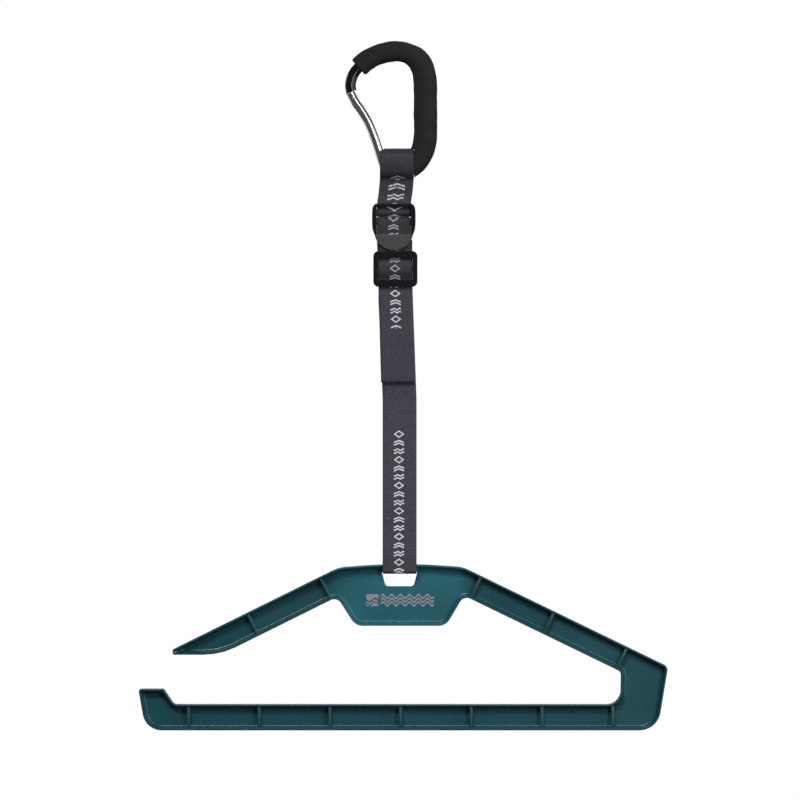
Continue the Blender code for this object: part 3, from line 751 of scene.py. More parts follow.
def row_tree():
    """Copies of the input mesh in a row, such as ribs."""
    tree = new_tree("row_of_ribs", [("Count", "Int"), ("Step", "Vector"), ("Material", "Material")])
    group = tree_node(tree, "NodeGroupInput")
    values = {"Count": group.outputs["Count"], "Offset": group.outputs["Step"]}
    values["Start Location"] = (0.0, 0.0, 0.0)
    line = tree_node(tree, "GeometryNodeMeshLine", {"mode": "OFFSET"}, values)
    values = {"Points": line.outputs[0], "Instance": group.outputs["Geometry"]}
    placed = tree_node(tree, "GeometryNodeInstanceOnPoints", (), values)
    return close_tree(tree, group, placed.outputs[0])


def grow(name, mesh, tree, values):
    """Run a tree on a mesh and keep the result as a plain mesh in a new piece."""
    seed = add_piece("seed", mesh)
    modifier = seed.modifiers.new("grow", "NODES")
    modifier.node_group = tree
    for item in tree.interface.items_tree:
        if item.in_out == "INPUT" and item.name in values:
            modifier[item.identifier] = values[item.name]
    return add_piece(name, applied(seed))


def line_mesh(*paths):
    """A mesh of bare edges along each path."""
    mesh = bpy.data.meshes.new("line")
    verts, edges = [], []
    for path in paths:
        first = len(verts)
        verts += [tuple(point) for point in path]
        edges += [(first + number, first + number + 1) for number in range(len(path) - 1)]
    mesh.from_pydata(verts, edges, [])
    return mesh


def beads(name, paths, pitch, size, material):
    """A piece of beads at a pitch along paths, each with the same length, width and height."""
    tree = bpy.data.node_groups.get("beads_along_a_line") or beads_tree()
    values = {"Pitch": pitch, "Length": size[0], "Width": size[1], "Height": size[2], "Material": material}
    return grow(name, line_mesh(*paths), tree, values)


def stitching(name, paths, sizes, body, node):
    """Rows of thread stitches along straight paths."""
    thread = bpy.data.materials.get("bonded_thread") or thread_finish()
    thread_width = 0.62 * MM
    made = beads(name, paths, sizes.stitch * 1.22, (sizes.stitch, thread_width, thread_width), thread)
    settle(made, body, node)


# Stage


ROOM_LIGHT = 0.09  # the world's strength for all rays but the camera's

# Suns: name, place, spread in degrees and power
SUNS = [
    ("key", (-0.25, -1.0, 0.85), 18.0, 1.75),
    ("rear", (0.5, 1.3, 0.9), 60.0, 0.8),
]

# Softboxes: name, place, width and height, and power
SOFTBOXES = [
    ("strip", (1.15, -2.2, 0.1), (0.4, 2.0), 22.0),
    ("side", (2.2, -0.7, -0.1), (1.6, 1.8), 16.0),
    ("rear_side", (-1.8, 1.2, -0.1), (1.2, 1.8), 8.0),
]


class HANGER_OT_stage(bpy.types.Operator):
    """Put up the camera, the lights, a white surround and a pale floor"""

    bl_idname = "hanger.stage"
    bl_label = "Stage"

    def execute(self, context):
        scene = context.scene
        middle = Vector((0.0, 0.0, -0.30045))
        data = bpy.data.cameras.new("camera")
        camera = bpy.data.objects.new("camera", data)
        scene.collection.objects.link(camera)
        distance, view_width = 8.0, 0.7101
        data.sensor_width = 36.0
        data.lens = data.sensor_width * distance / view_width
        data.clip_end = 30.0
        camera.location = middle - Vector((0, distance, 0))
        camera.rotation_euler = (math.pi / 2, 0.0, 0.0)
        scene.camera = camera

        white, glow = (1.0, 1.0, 1.0), 0.44
        paper = Finish("pale_floor", Base_Color=(0.9, 0.9, 0.9), Roughness=0.9)
        paper.set(Emission_Color=white, Emission_Strength=glow)
        reach, floor_z = 11.0, -1.25
        corners = [Vector((x * reach, y * reach, floor_z)) for x, y in ((-1, -1), (1, -1), (1, 1), (-1, 1))]
        plain = mesh_from(lambda work: work.faces.new([work.verts.new(corner) for corner in corners]))
        if plain.polygons[0].normal.z < 0:
            plain.flip_normals()
        floor = add_piece("pale_floor", plain, paper.material)
        floor.visible_diffuse = floor.visible_glossy = False

        world = bpy.data.worlds.new("studio")
        scene.world = world
        world.use_nodes = True
        nodes, links = world.node_tree.nodes, world.node_tree.links
        surround = nodes["Background"]
        surround.inputs["Color"].default_value = (*white, 1.0)
        seen = nodes.new("ShaderNodeLightPath")
        strength = nodes.new("ShaderNodeMath")
        strength.operation = "MULTIPLY_ADD"
        strength.inputs[1].default_value = 1.0 - ROOM_LIGHT
        strength.inputs[2].default_value = ROOM_LIGHT
        links.new(seen.outputs["Is Camera Ray"], strength.inputs[0])
        links.new(strength.outputs[0], surround.inputs["Strength"])

        for name, place, spread, power in SUNS:
            lamp = bpy.data.lights.new(name, "SUN")
            lamp.angle = math.radians(spread)
            lamp.energy = power
            self.hang(lamp, place, Vector())
        for name, place, size, power in SOFTBOXES:
            lamp = bpy.data.lights.new(name, "AREA")
            lamp.shape = "RECTANGLE"
            lamp.size, lamp.size_y = size
            lamp.energy = power
            self.hang(lamp, place, middle)
        scene.view_settings.view_transform = "Standard"
        return {"FINISHED"}

    @staticmethod
    def hang(lamp, place, aim):
        """Put a lamp at its place, turned to its aim, and out of the camera's sight."""
        made = bpy.data.objects.new(lamp.name, lamp)
        made.location = place
        made.rotation_euler = (aim - Vector(place)).to_track_quat("-Z", "Y").to_euler()
        made.visible_camera = False
        bpy.context.scene.collection.objects.link(made)


# Carabiner

# Middle lines in millimetres: the loop's fold as Y and Z, the rod and the gate as X and Z
FOLD = [
    (0.0, -77.9), (-4.6, -79.0), (-8.2, -82.6), (-9.5, -88.0), (-9.2, -94.0), (-7.6, -99.2), (-3.8, -102.6),
]
FRAME_ROUTE = [
    (-43.3, -26.0), (-44.0, -20.0), (-41.7, -12.0), (-36.8, -5.3), (-30.2, 0.4), (-22.2, 4.9), (-12.4, 8.0),
    (-2.2, 9.1), (7.1, 7.1), (15.1, 2.2), (20.0, -5.8), (22.2, -16.4), (22.6, -29.7), (22.6, -47.5),
    (22.6, -65.7), (20.6, -77.5), (16.2, -86.4), (10.0, -92.3), (2.5, -95.8), (-6.2, -97.0),
]
NOSE_END = (-42.3, -31.0)  # past the nose, so that the cutter can trim the rod
FOAM_FIRST, FOAM_LAST = 3, 19  # the part of the rod's route under the foam
GATE_ROUTE = [
    (-44.3, -27.0), (-39.1, -36.4), (-35.3, -41.7), (-29.1, -51.9), (-24.4, -62.6), (-19.4, -76.8),
    (-16.2, -87.4), (-12.6, -97.2),
]
NOSE_CUT = Vector((-43.1, 0.0, -27.2)) * MM
NOSE_CUT_SLOPE = math.radians(24.5)
FORK_SLOT_HALF = 1.8 * MM
TONGUE_HALF = 1.4 * MM
RIVET_HOLE = 1.75 * MM


def in_plane(points):
    """Millimetres in the XZ plane as points in metres."""
    return [Vector((x * MM, 0.0, z * MM)) for x, z in points]


def middle_line(points, pitch):
    return evenly(smooth_path(in_plane(points), 12), pitch)


def nose_cutter(above):
    """A block on one side of the sloping face between nose and gate."""
    reach, gap = 14 * MM, 0.2 * MM
    low, high = (-gap, reach) if above else (-reach, gap)
    mesh = box((-reach, -reach, low), (reach, reach, high))
    mesh.transform(Matrix.Translation(NOSE_CUT) @ Matrix.Rotation(-NOSE_CUT_SLOPE, 4, "Y"))
    return mesh


def inside_of_loop(start_x, end_x):
    """A block that fills the sewn loop from inside, clear of its webbing."""
    front = smooth_path([Vector((0.0, y * MM, z * MM)) for y, z in FOLD], 6)
    clear, low_z = 1.1 * MM, -100.5 * MM
    half = []
    for point, along in zip(front, tangents(front)):
        inward = Vector((0, -along.z, along.y))
        inward = inward if inward.y > 0 or inward.z < 0 else -inward
        moved = point + inward * clear
        if moved.y < -0.2 * MM and moved.z > low_z:
            half.append(moved)
    ring = [*half, *mirrored(half)]
    return loft([[Vector((x, point.y, point.z)) for point in ring] for x in (start_x, end_x)])


class HANGER_OT_carabiner(bpy.types.Operator):
    """Build the carabiner's bent rod and the foam sleeve over it"""

    bl_idname = "hanger.carabiner"
    bl_label = "Carabiner"

    def execute(self, context):
        sizes, colours = context.scene.hanger_sizes, context.scene.hanger_colours
        route = middle_line([NOSE_END, *FRAME_ROUTE], 1.6 * MM)
        rod = boolean(round_bar(route, sizes.rod_radius), nose_cutter(above=False))
        tongue = cylinder(HINGE, 3.4 * MM, TONGUE_HALF)
        low = HINGE + Vector((0.0, -TONGUE_HALF, -3.0 * MM))
        high = HINGE + Vector((9.0 * MM, TONGUE_HALF, 3.0 * MM))
        rod = boolean(rod, boolean(tongue, box(low, high), "UNION"), "UNION")
        rod = boolean(rod, cylinder(HINGE, RIVET_HOLE, 6 * MM))
        round_sharp(rod, 50.0, 0.25 * MM, 2)
        frame_piece = add_piece("carabiner_rod", shade_moulded(rod), anodised_finish())
        settle(frame_piece, "carabiner", "carabiner_frame")

        covered = middle_line(FRAME_ROUTE[FOAM_FIRST:FOAM_LAST], 1.2 * MM)
        top, side = sizes.foam_top, sizes.foam_side
        count = len(covered)
        swell_from, swell_over, side_below = 5 * MM, 17 * MM, -30 * MM

        def foam_radius(share):
            point = covered[round(share * (count - 1))]
            grown = min(1.0, max(0.0, (point.x - swell_from) / swell_over))
            if point.z < side_below:
                grown = 1.0
            radius = top + (side - top) * grown * grown * (3 - 2 * grown)
            ripple = 0.10 * MM * math.sin(share * 41.0) + 0.07 * MM * math.sin(share * 97.0 + 1.0)
            round_end = min(1.0, share * count / 1.6)
            return (radius + ripple) * (0.93 + 0.07 * math.sqrt(round_end))

        foam = round_bar(covered, foam_radius, 56)
        foam = boolean(foam, round_bar(middle_line(FRAME_ROUTE, 1.6 * MM), sizes.rod_radius + 0.12 * MM, 40))
        edge = LOOP_HIGH.x + 0.3 * MM
        tucked = boolean(foam.copy(), inside_of_loop(edge - 6 * MM, edge + MM), "INTERSECT")
        room = box((edge - 40 * MM, -20 * MM, -120 * MM), (edge, 20 * MM, LOOP_HIGH.z - 0.5 * MM))
        foam = boolean(boolean(foam, room), tucked, "UNION")
        round_sharp(foam, 55.0, 0.9 * MM)
        sleeve = add_piece("foam_sleeve", shade(foam, 45.0), foam_finish(colours))
        settle(sleeve, "carabiner", "foam_grip")
        return {"FINISHED"}


class HANGER_OT_gate(bpy.types.Operator):
    """Build the gate with its fork, bore and grip ridges, and finish its pins and spring"""

    bl_idname = "hanger.gate"
    bl_label = "Gate"

    def execute(self, context):
        sizes = context.scene.hanger_sizes
        route = middle_line(GATE_ROUTE, 1.2 * MM)
        radius = sizes.gate_radius
        arm = round_bar(route, radius)
        arm = boolean(arm, cylinder(HINGE, radius - 0.05 * MM, radius - 0.05 * MM), "UNION")
        arm = boolean(arm, nose_cutter(above=True))
        up = (in_plane(GATE_ROUTE)[-2] - HINGE).normalized()
        slot = box((-9 * MM, -FORK_SLOT_HALF, -9 * MM), (9 * MM, FORK_SLOT_HALF, 5.2 * MM))
        turn = Vector((0, 0, 1)).rotation_difference(up).to_matrix().to_4x4()
        slot.transform(Matrix.Translation(HINGE) @ turn)
        rivet_hole = cylinder(HINGE, RIVET_HOLE, 6 * MM)
        pin_hole = cylinder(LATCH_PIN, 1.05 * MM, 8 * MM, sides=32)
        spring_bore = round_bar([HINGE + up * 4 * MM, HINGE + up * 18 * MM], 1.7 * MM, 24)
        arm = cut(arm, slot, rivet_hole, spring_bore, pin_hole)
        round_sharp(arm, 50.0, 0.22 * MM, 2)
        metal = aluminium_finish()
        bar = add_piece("gate_bar", shade_moulded(arm), metal)
        settle(bar, "gate", "gate_arm")

        grip = []
        for point, along in list(zip(route, tangents(route)))[9:17]:
            outward = along.cross(Vector((0, 1, 0)))
            outward = outward if outward.x < 0 else -outward
            grip.append(point + outward * (radius - 0.02 * MM))
        ridges = beads("gate_grip_ridges", [grip], 1.0 * MM, (0.55 * MM, 4.6 * MM, 0.9 * MM), metal)
        settle(ridges, "gate")

        steel = steel_finish()
        for name in ("latch_pin", "gate_rivet", "gate_plunger", "gate_spring"):
            node = frame["nodes"][name]
            node.data.materials.clear()
            node.data.materials.append(steel)
        return {"FINISHED"}


# Sewn loop

LAYER_Y = 0.9 * MM
LAP = 0.1 * MM


class HANGER_OT_sewn_loop(bpy.types.Operator):
    """Build the webbing loop between the carabiner and the ladder-lock, with its box stitching"""

    bl_idname = "hanger.sewn_loop"
    bl_label = "Sewn loop"

    def execute(self, context):
        sizes, colours = context.scene.hanger_sizes, context.scene.hanger_colours
        join_z = LOOP_LOW.z
        front = [Vector((LOOP_X, y * MM, z * MM)) for y, z in FOLD]
        front.append(Vector((LOOP_X, -LAYER_Y - 0.05 * MM, join_z + 0.6 * MM)))
        half = [*smooth_path(front, 8), Vector((LOOP_X, -LAYER_Y, join_z - 0.1 * MM))]
        gate_edge, full_edge = -14.4 * MM, LOOP_LOW.x

        def beside_gate(place):
            """Pull the fold's free edge in where the gate's fork stands."""
            near = max(0.0, 1.0 - max(0.0, abs(place.y) - 3.6 * MM) / (2.6 * MM)) * (place.z > -90 * MM)
            if place.x < LOOP_X and near > 0.0:
                squeeze = (LOOP_X - gate_edge) / (LOOP_X - full_edge)
                place.x = LOOP_X + (place.x - LOOP_X) * (1 - near * (1 - squeeze))
            return place

        route = [*mirrored(half[1:]), *half]
        total = sum((after - before).length for before, after in zip(route, route[1:]))
        zone = (total - 7.4 * MM, 1.0, 0.6 * MM, 7.2 * MM, 9.4 * MM, 0.7)
        printed = webbing_finish("webbing_loop", colours, print_zone=zone, depth=0.56)
        top, run = webbing(
            "loop_fold", "anchor_loop", route, sizes, printed, "carabiner", shape=beside_gate, held="folded"
        )
        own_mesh(top)

        wrap = CROSSBAR_RADIUS + WRAP_GAP + sizes.web_thick / 2
        down = [
            Vector((LOOP_X + (LOCK_X - LOOP_X) * share, y, z))
            for share, y, z in (
                (0.0, -LAYER_Y, join_z + 0.1 * MM),
                (0.25, -LAYER_Y, -112 * MM),
                (0.5, -LAYER_Y, -118 * MM),
                (0.85, -2.0 * MM, -124 * MM),
            )
        ]
        under = [
            CROSSBAR + Vector((0, wrap * math.sin(angle), -wrap * math.cos(angle)))
            for angle in sweep(-100, 100, 16)
        ]
        up = mirrored(down)
        up[0].y = 1.3 * MM
        route = [*smooth_path([*down, under[0]], 6)[:-1], *under, *smooth_path([under[-1], *up], 6)[1:]]
        webbing(
            "loop_base", "anchor_loop_base", route, sizes, printed, "anchor", v_start=run - LAP, held="folded"
        )

        left, right, high, low = -14.2 * MM, 8.9 * MM, -105.4 * MM, -117.6 * MM
        surface = LAYER_Y + sizes.web_thick / 2 + 0.02 * MM
        second = high - 1.6 * MM
        rows = [
            [(left, high), (right, high), (right, low), (left, low), (left, high)],
            [(left, high), (right, low)],
            [(right, high), (left, low)],
            [(left, second), (right, second)],
        ]
        paths = [[Vector((x, y, z)) for x, z in row] for y in (-surface, surface) for row in rows]
        stitching("loop_box_stitches", paths, sizes, "anchor", "anchor_box_stitch")
        return {"FINISHED"}


# Buckles

CROSSBAR_RADIUS, LOCKBAR_RADIUS = 2.6 * MM, 2.7 * MM
TAB_BACK_Y = -6.2 * MM
WINDOW_HALF = 15.12 * MM
WRAP_GAP = 0.26 * MM


class HANGER_OT_ladder_lock(bpy.types.Operator):
    """Build the ladder-lock buckle with its crossbars and thumb tab"""

    bl_idname = "hanger.ladder_lock"
    bl_label = "Ladder-lock"

    def execute(self, context):
        colours = context.scene.hanger_colours
        half, top, bottom = (LOCK_HIGH.x - LOCK_LOW.x) / 2, LOCK_HIGH.z, LOCK_LOW.z
        front, back = LOCK_LOW.y, LOCK_HIGH.y
        chord, tab_half, window = -153.7 * MM, 17.1 * MM, WINDOW_HALF
        radius = (tab_half**2 + (chord - bottom) ** 2) / (2 * (chord - bottom))
        swing = math.acos(min(1.0, tab_half / radius))
        tab = []
        for step in range(33):
            angle = -math.pi + swing + (math.pi - 2 * swing) * step / 32
            tab.append((radius * math.cos(angle), bottom + radius + radius * math.sin(angle)))
        side = [(0.6, -149.5 * MM), (0.1, -145 * MM), (0.0, -141 * MM), (0.0, -136 * MM)]
        side += [(0.35, top - 4.2 * MM), (1.1, top - 1.9 * MM), (3.2, top)]
        side = [(half - inwards * MM, z) for inwards, z in side]
        outline = [(LOCK_X + x, z) for x, z in [*tab, *side, *[(-x, z) for x, z in reversed(side)]]]
        low_x, high_x, rim, far, wide = LOCK_X - window, LOCK_X + window, top - 2.8 * MM, 20 * MM, 30 * MM
        buckle = cut(
            plate(outline, front, back),
            box((low_x, -far, chord), (high_x, far, rim)),
            box((low_x, TAB_BACK_Y, rim - MM), (high_x, far, -110 * MM)),
            box((LOCK_X - wide, TAB_BACK_Y, -180 * MM), (LOCK_X + wide, far, chord)),
        )
        round_sharp(buckle, 40.0, 0.6 * MM)
        for centre, size in ((CROSSBAR, CROSSBAR_RADIUS), (LOCKBAR, LOCKBAR_RADIUS)):
            buckle = boolean(buckle, cylinder(centre, size, window + 1.5 * MM, "X", 40), "UNION")
        plastic = acetal_finish("acetal_lock", colours, chord - 0.4 * MM)
        made = add_piece("ladder_lock", shade_moulded(buckle), plastic)
        settle(made, "ladder_lock", "ladder_lock_buckle")
        return {"FINISHED"}


class HANGER_OT_tri_glide(bpy.types.Operator):
    """Build the tri-glide that holds the strap's end and its tail"""

    bl_idname = "hanger.tri_glide"
    bl_label = "Tri-glide"

    def execute(self, context):
        colours = context.scene.hanger_colours
        half_x, half_z = (GLIDE_HIGH.x - GLIDE_LOW.x) / 2, (GLIDE_HIGH.z - GLIDE_LOW.z) / 2
        front, back, bars_back = GLIDE_LOW.y, GLIDE_HIGH.y, -5.6 * MM
        corner = 4.8 * MM
        signs = ((-1, 1), (1, 1), (1, -1), (-1, -1))
        corners = [(GLIDE_X + x * half_x, GLIDE_Z + z * half_z, corner) for x, z in signs]
        window_x, window_z, far, tall = WINDOW_HALF, half_z - 6.2 * MM, 20 * MM, 30 * MM

        def centred(reach_x, reach_z, low_y, high_y, bevel=0.0):
            low = (GLIDE_X - reach_x, low_y, GLIDE_Z - reach_z)
            return box(low, (GLIDE_X + reach_x, high_y, GLIDE_Z + reach_z), bevel)

        glide = cut(
            plate(rounded_outline(corners, 12.0), front, back),
            centred(window_x, window_z, -far, far),
            centred(window_x, tall, bars_back, far),
        )
        round_sharp(glide, 40.0, 0.8 * MM)
        centre_bar = centred(window_x + 1.5 * MM, 2.4 * MM, -4.55 * MM, -2.35 * MM, 1.0 * MM)
        glide = boolean(glide, centre_bar, "UNION")
        made = add_piece("tri_glide_frame", shade_moulded(glide), acetal_finish("acetal_glide", colours))
        settle(made, "tri_glide", "tri_glide_buckle")
        return {"FINISHED"}


# Strap

TAIL_Y, END_TAB_Y, FRONT_Y, REAR_Y = -4.7 * MM, -3.1 * MM, -1.5 * MM, 0.6 * MM
CENTRE_BAR_Y = -3.45 * MM


def strand_levels():
    """Half the strands' distance at the hanger, and the front and back strands' Y at the swing split."""
    rim = SLING_HIGH.y - 0.75 * MM

    share = (SLIDE_SPLIT_Z - SWING_SPLIT_Z) / (SLIDE_SPLIT_Z - SLING_TOP_Z)
    return rim, *[y + (math.copysign(rim, y) - y) * share for y in (FRONT_Y, REAR_Y)]


class HANGER_OT_strap(bpy.types.Operator):
    """Build the main strap: over the buckles, down both sides and round the hanger"""

    bl_idname = "hanger.strap"
    bl_label = "Strap"

    def execute(self, context):
        sizes, colours = context.scene.hanger_sizes, context.scene.hanger_colours
        plain = webbing_finish("webbing_plain", colours)
        rim, front_swing, back_swing = strand_levels()
        slide, swing, low = SLIDE_SPLIT_Z, SWING_SPLIT_Z, SLING_TOP_Z

        wrap = LOCKBAR_RADIUS + WRAP_GAP + sizes.web_thick / 2
        over = [
            LOCKBAR + Vector((0.0, wrap * math.sin(angle), wrap * math.cos(angle)))
            for angle in sweep(90, -90, 20)
        ]
        back_leg = Vector((LOCK_X, over[0].y - 0.1 * MM, -157 * MM - LAP))
        front_leg = Vector((LOCK_X, TAIL_Y, -157.3 * MM - LAP))
        zone = (19.0 * MM, 122.0 * MM, -0.3 * MM, 4.6 * MM, 7.6 * MM)
        tail_finish = webbing_finish("webbing_tail", colours, print_zone=(*zone, 0.9))
        # Painted shade: the webbing inside the buckles is darkened to half, and its print is shown at half
        # strength
        painted_shade_finish = webbing_finish("webbing_painted_shade", colours, print_zone=(*zone, 0.5), depth=0.5)
        route = [back_leg, *over, front_leg]
        _, run = webbing(
            "strap_over_bar", "strap_over_lock_bar", route, sizes, painted_shade_finish, "strap", held="folded"
        )

        crest = -7.05 * MM
        weave = [
            (TAIL_Y, -157.3), (TAIL_Y, -166.0), (TAIL_Y, -175.2), (-6.1 * MM, -178.6), (crest, -181.8),
            (crest, -186.6), (-6.1 * MM, -189.8), (-4.95 * MM, -192.6), (TAIL_Y, -194.2), (TAIL_Y, -200.2),
        ]
        fall = smooth_path([(GLIDE_X, y, z * MM) for y, z in weave], 6)
        fall[0].x = LOCK_X
        made, run = webbing(
            "strap_over_glide", "strap_over_tri_glide", fall, sizes, painted_shade_finish, v_start=run, held="folded"
        )
        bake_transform(made)

        tail_x = (TAIL_LOW.x + TAIL_HIGH.x) / 2 + 1.0 * MM
        top, hem = Vector((GLIDE_X, TAIL_Y, -200.0 * MM)), Vector((tail_x, TAIL_Y, TAIL_LOW.z + 1.6 * MM))
        drop = [top.lerp(hem, share) for share in (0.0, 0.25, 0.5, 0.75, 1.0)]
        turn = 0.85 * MM
        fold = [
            drop[-1] + Vector((0, -turn + turn * math.cos(angle), -turn * math.sin(angle)))
            for angle in sweep(0, 180, 8)[1:]
        ]
        raw = Vector((tail_x - 0.6 * MM, TAIL_Y - 2 * turn, -248.1 * MM))
        route = [*drop, *fold, raw]
        made, _ = webbing(
            "strap_tail_web", "strap_tail", route, sizes, tail_finish, v_start=run, held="folded"
        )
        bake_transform(made)

        wrap = 1.1 * MM + 0.1 * MM + sizes.web_thick / 2
        bend_z = GLIDE_Z + 1.3 * MM
        around = [
            Vector((GLIDE_X, CENTRE_BAR_Y + wrap * math.cos(angle), bend_z + wrap * math.sin(angle)))
            for angle in sweep(0, 180, 16)
        ]
        end = [(-5.4 * MM, -185.4), (-4.9 * MM, -188.0), (-3.6 * MM, -190.8)]
        end += [(END_TAB_Y, -193.4), (END_TAB_Y, -212.0)]
        front = [Vector((GLIDE_X, y, z * MM)) for y, z in end]
        rear = [Vector((GLIDE_X, FRONT_Y, z * MM)) for z in (-212.4, -190.0)]
        route = [*rear, *around, *front]
        webbing("strap_end", "strap_end_loop", route, sizes, plain, "tri_glide", held="folded")

        zone = (27.0 * MM, 0.5, -0.55 * MM, 4.5 * MM, 7.6 * MM, 0.97)
        strand_finish = webbing_finish("webbing_printed", colours, print_zone=zone)
        parts = (("top", "top"), ("middle", "middle"), ("low", "lower"))
        front_top = Vector((GLIDE_X, FRONT_Y, -0.2122))
        strands = (
            ("front", "tri_glide", front_top, (FRONT_Y, front_swing, -rim), (-88 * MM, 0.0, 0.1004)),
            ("back", "strap", back_leg, (REAR_Y, back_swing, rim), (0.7, 0.8427, 0.9434)),
        )
        for side, first_body, first, depths, starts in strands:
            places = [first, *[Vector((STRAP_X, y, z)) for y, z in zip(depths, (slide, swing, low))]]
            bodies = (first_body, "strap", "strap_foot", "hanger")
            for number, (part, node_part) in enumerate(parts):
                (start, end), (above, below) = places[number : number + 2], bodies[number : number + 2]
                made, _ = webbing(
                    f"strap_{side}_{part}",
                    f"{side}_strand_{node_part}",
                    [start, end + (end - start).normalized() * LAP],
                    sizes,
                    strand_finish,
                    above if above == below else None,
                    v_start=starts[number],
                )
                if above != below:
                    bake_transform(made)

        bend, under = 2.4 * MM, SLING_LOW.z + sizes.web_thick / 2
        corner = [
            Vector((STRAP_X, -rim + bend * (1 - math.cos(angle)), under + bend * (1 - math.sin(angle))))
            for angle in sweep(0, 90, 8)
        ]
        front = [Vector((STRAP_X, -rim, low + LAP)), *corner]
        route = [*front, *mirrored(front)]
        webbing(
            "strap_sling", "lower_loop", route, sizes, strand_finish, "hanger", v_start=0.1385, held="folded"
        )

        surface = TAIL_Y - 2 * turn - sizes.web_thick / 2
        tail_ends = (tail_x - 13.5 * MM, tail_x + 12.5 * MM)
        rows = [[Vector((x, surface, z * MM)) for x in tail_ends] for z in (-250.6, -252.4, -281.4, -283.0)]
        stitching("tail_hem_stitches", rows, sizes, "tail", "tail_hem_stitch")
        surface = FRONT_Y + sizes.web_thick / 2
        ends = (GLIDE_X - 11 * MM, GLIDE_X + 11 * MM)
        rows = [[Vector((x, surface, z * MM)) for x in ends] for z in (-203, -206.5, -210)]
        stitching("strap_end_stitches", rows, sizes, "tri_glide", "strap_end_stitch")
        return {"FINISHED"}


# Hanger

HANGER_CORNERS = [
    (-201.7, -521.9, 1.6), (-54.2, -449.0, 30.0), (0.0, -445.0, 370.0), (55.7, -448.6, 28.0),
    (237.7, -536.9, 5.0), (228.4, -593.4, 19.0), (-225.6, -593.4, 17.0), (-232.0, -556.8, 2.0),
    (-209.6, -556.8, 1.6), (-200.3, -570.5, 6.0), (195.6, -570.5, 12.0), (196.2, -541.6, 5.0),
    (56.6, -473.9, 7.0), (40.8, -500.7, 12.0), (-39.5, -500.7, 12.0), (-55.8, -475.1, 7.0),
    (-159.1, -526.35, 65.0), (-201.7, -526.35, 1.9),
]
ARM_SLOPE = math.radians(26.2)


def millimetres(corners):
    return [tuple(part * MM for part in corner) for corner in corners]


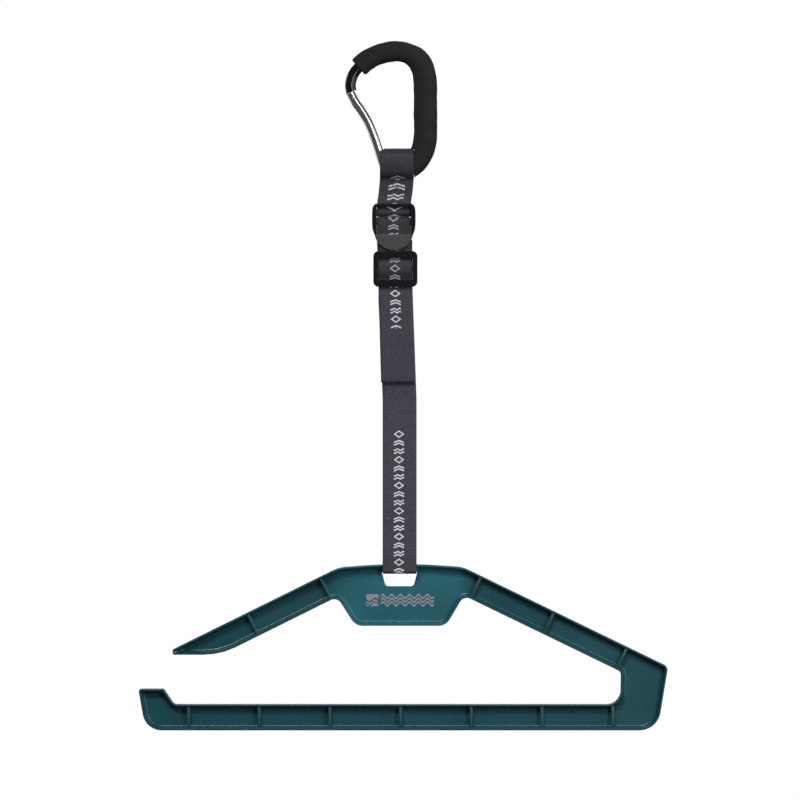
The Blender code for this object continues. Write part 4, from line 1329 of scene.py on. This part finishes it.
class HANGER_OT_moulding(bpy.types.Operator):
    """Build the moulded hanger with its rim, web, ribs, strap bar and slot"""

    bl_idname = "hanger.moulding"
    bl_label = "Moulding"

    def execute(self, context):
        sizes, colours = context.scene.hanger_sizes, context.scene.hanger_colours
        teal = moulding_finish(colours)
        half, half_web, wall = HANGER_HIGH.y, sizes.web_wall / 2, sizes.rim_wall
        corners = millimetres(HANGER_CORNERS)
        edge, lip_wide, lip_deep, draft, fillet = 0.4 * MM, 1.2 * MM, 1.8 * MM, 0.5 * MM, 1.6 * MM
        turns = quarter(3)[::-1]
        front_edge = [(-half + edge * (1 - sine), edge * (1 - cosine)) for sine, cosine in turns]
        body = stepped(corners, [*front_edge, *[(-y, inset) for y, inset in reversed(front_edge)]])
        sharp_x = corners[0][0] - (corners[0][1] - corners[-1][1]) / math.tan(ARM_SLOPE)
        inner = [(sharp_x, corners[-1][1], 0.0), *corners[1:-1]]
        for side in (-1, 1):
            levels = [(half + MM, wall - lip_wide), (half, wall - lip_wide), (half - lip_deep, wall)]
            levels += [
                (half_web + fillet * (1 - sine), wall + draft + fillet * (1 - cosine))
                for sine, cosine in quarter(5)
            ]
            body = boolean(body, stepped(inner, [(side * y, inset) for y, inset in levels]))

        slot_top, slot_bottom, flare = SLING_LOW.z + 1.8 * MM, -465.7 * MM, 0.5 * MM
        slot = [
            (STRAP_X - 15.8 * MM, slot_top, 0.6 * MM), (STRAP_X + 15.8 * MM, slot_top, 0.6 * MM),
            (STRAP_X + 12.4 * MM, slot_bottom, 3.4 * MM), (STRAP_X - 12.4 * MM, slot_bottom, 3.4 * MM),
        ]
        through = [(3 * half, -flare), (half_web, -flare), (half_web - flare, 0.0)]
        through += [(-y, inset) for y, inset in reversed(through)]
        body = boolean(body, stepped(slot, through))
        wide, deep, bar_top = 14.6 * MM, half - 0.6 * MM, -446.9 * MM
        bar = box((STRAP_X - wide, -deep, slot_top), (STRAP_X + wide, deep, bar_top), 0.8 * MM)
        body = boolean(body, bar, "UNION")
        shell = add_piece("hanger_shell", shade_moulded(body), teal)
        settle(shell, "hanger", "hanger_moulding")

        tree = row_tree()
        half_rib, deep = sizes.rib_wall / 2, half - 1.0 * MM
        first_x = 0.3 * MM - sizes.rib_pitch * (sizes.bar_ribs - 1) / 2
        low, high = (first_x - half_rib, -deep, -592.2 * MM), (first_x + half_rib, deep, -571.6 * MM)
        upright = box(low, high, 0.5 * MM)
        values = {"Count": sizes.bar_ribs, "Step": (sizes.rib_pitch, 0.0, 0.0), "Material": teal}
        settle(grow("bar_ribs", upright, tree, values), "hanger")
        arm_pitch, arm_half = 71.9 * MM, 10.8 * MM
        arms = (("left_arm_ribs", 2, (-66.2, -467.4), -1), ("right_arm_ribs", 3, (67.2, -466.4), 1))
        for name, count, (x, z), side in arms:
            rib = box((-half_rib, -deep, -arm_half), (half_rib, deep, arm_half), 0.5 * MM)
            tilt = Matrix.Rotation(side * ARM_SLOPE, 4, "Y")
            rib.transform(Matrix.Translation((x * MM, 0, z * MM)) @ tilt)
            step = (side * arm_pitch * math.cos(ARM_SLOPE), 0.0, -arm_pitch * math.sin(ARM_SLOPE))
            ribs = grow(name, rib, tree, {"Count": count, "Step": step, "Material": teal})
            settle(ribs, "hanger")

        marks, tick = [], Vector((0.2 * MM, 0, 0))
        for x, z, radius in ((80.4, -474.6, 3.3), (-16.0, -580.2, 1.1)):
            for side in (-1, 1):
                centre = Vector((x * MM, side * half_web, z * MM))
                spokes = [Vector((math.cos(angle), 0, math.sin(angle))) for angle in sweep(0, 360, 24)]
                marks.append([centre + spoke * radius * MM for spoke in spokes])
                marks.append([centre - tick, centre + tick])
        made = beads("ejector_marks", marks, 0.35 * MM, (0.6 * MM, 0.5 * MM, 0.5 * MM), teal)
        settle(made, "hanger")
        return {"FINISHED"}


class HANGER_PT_parts(bpy.types.Panel):
    """Lists the sizes, the colours and the pieces to build"""

    bl_idname = "HANGER_PT_parts"
    bl_label = "Drying hanger"
    bl_space_type = "VIEW_3D"
    bl_region_type = "UI"
    bl_category = "Hanger"

    def draw(self, context):
        layout = self.layout
        for group in (context.scene.hanger_sizes, context.scene.hanger_colours):
            for name in group.bl_rna.properties.keys():
                if name not in ("name", "rna_type"):
                    layout.prop(group, name)
        for operator in OPERATORS:
            layout.operator(operator.bl_idname)


OPERATORS = (
    HANGER_OT_stage,
    HANGER_OT_carabiner,
    HANGER_OT_gate,
    HANGER_OT_sewn_loop,
    HANGER_OT_ladder_lock,
    HANGER_OT_tri_glide,
    HANGER_OT_strap,
    HANGER_OT_moulding,
)
CLASSES = (HangerSizes, HangerColours, *OPERATORS, HANGER_PT_parts)


def register():
    for item in CLASSES:
        bpy.utils.register_class(item)
    bpy.types.Scene.hanger_sizes = PointerProperty(type=HangerSizes)
    bpy.types.Scene.hanger_colours = PointerProperty(type=HangerColours)


def unregister():
    del bpy.types.Scene.hanger_sizes
    del bpy.types.Scene.hanger_colours
    for item in reversed(CLASSES):
        bpy.utils.unregister_class(item)


def main():
    register()
    bpy.ops.hanger.stage()
    bpy.ops.hanger.carabiner()
    bpy.ops.hanger.gate()
    bpy.ops.hanger.sewn_loop()
    bpy.ops.hanger.ladder_lock()
    bpy.ops.hanger.tri_glide()
    bpy.ops.hanger.strap()
    bpy.ops.hanger.moulding()
    bpy.context.view_layer.update()


if __name__ == "__main__":
    main()
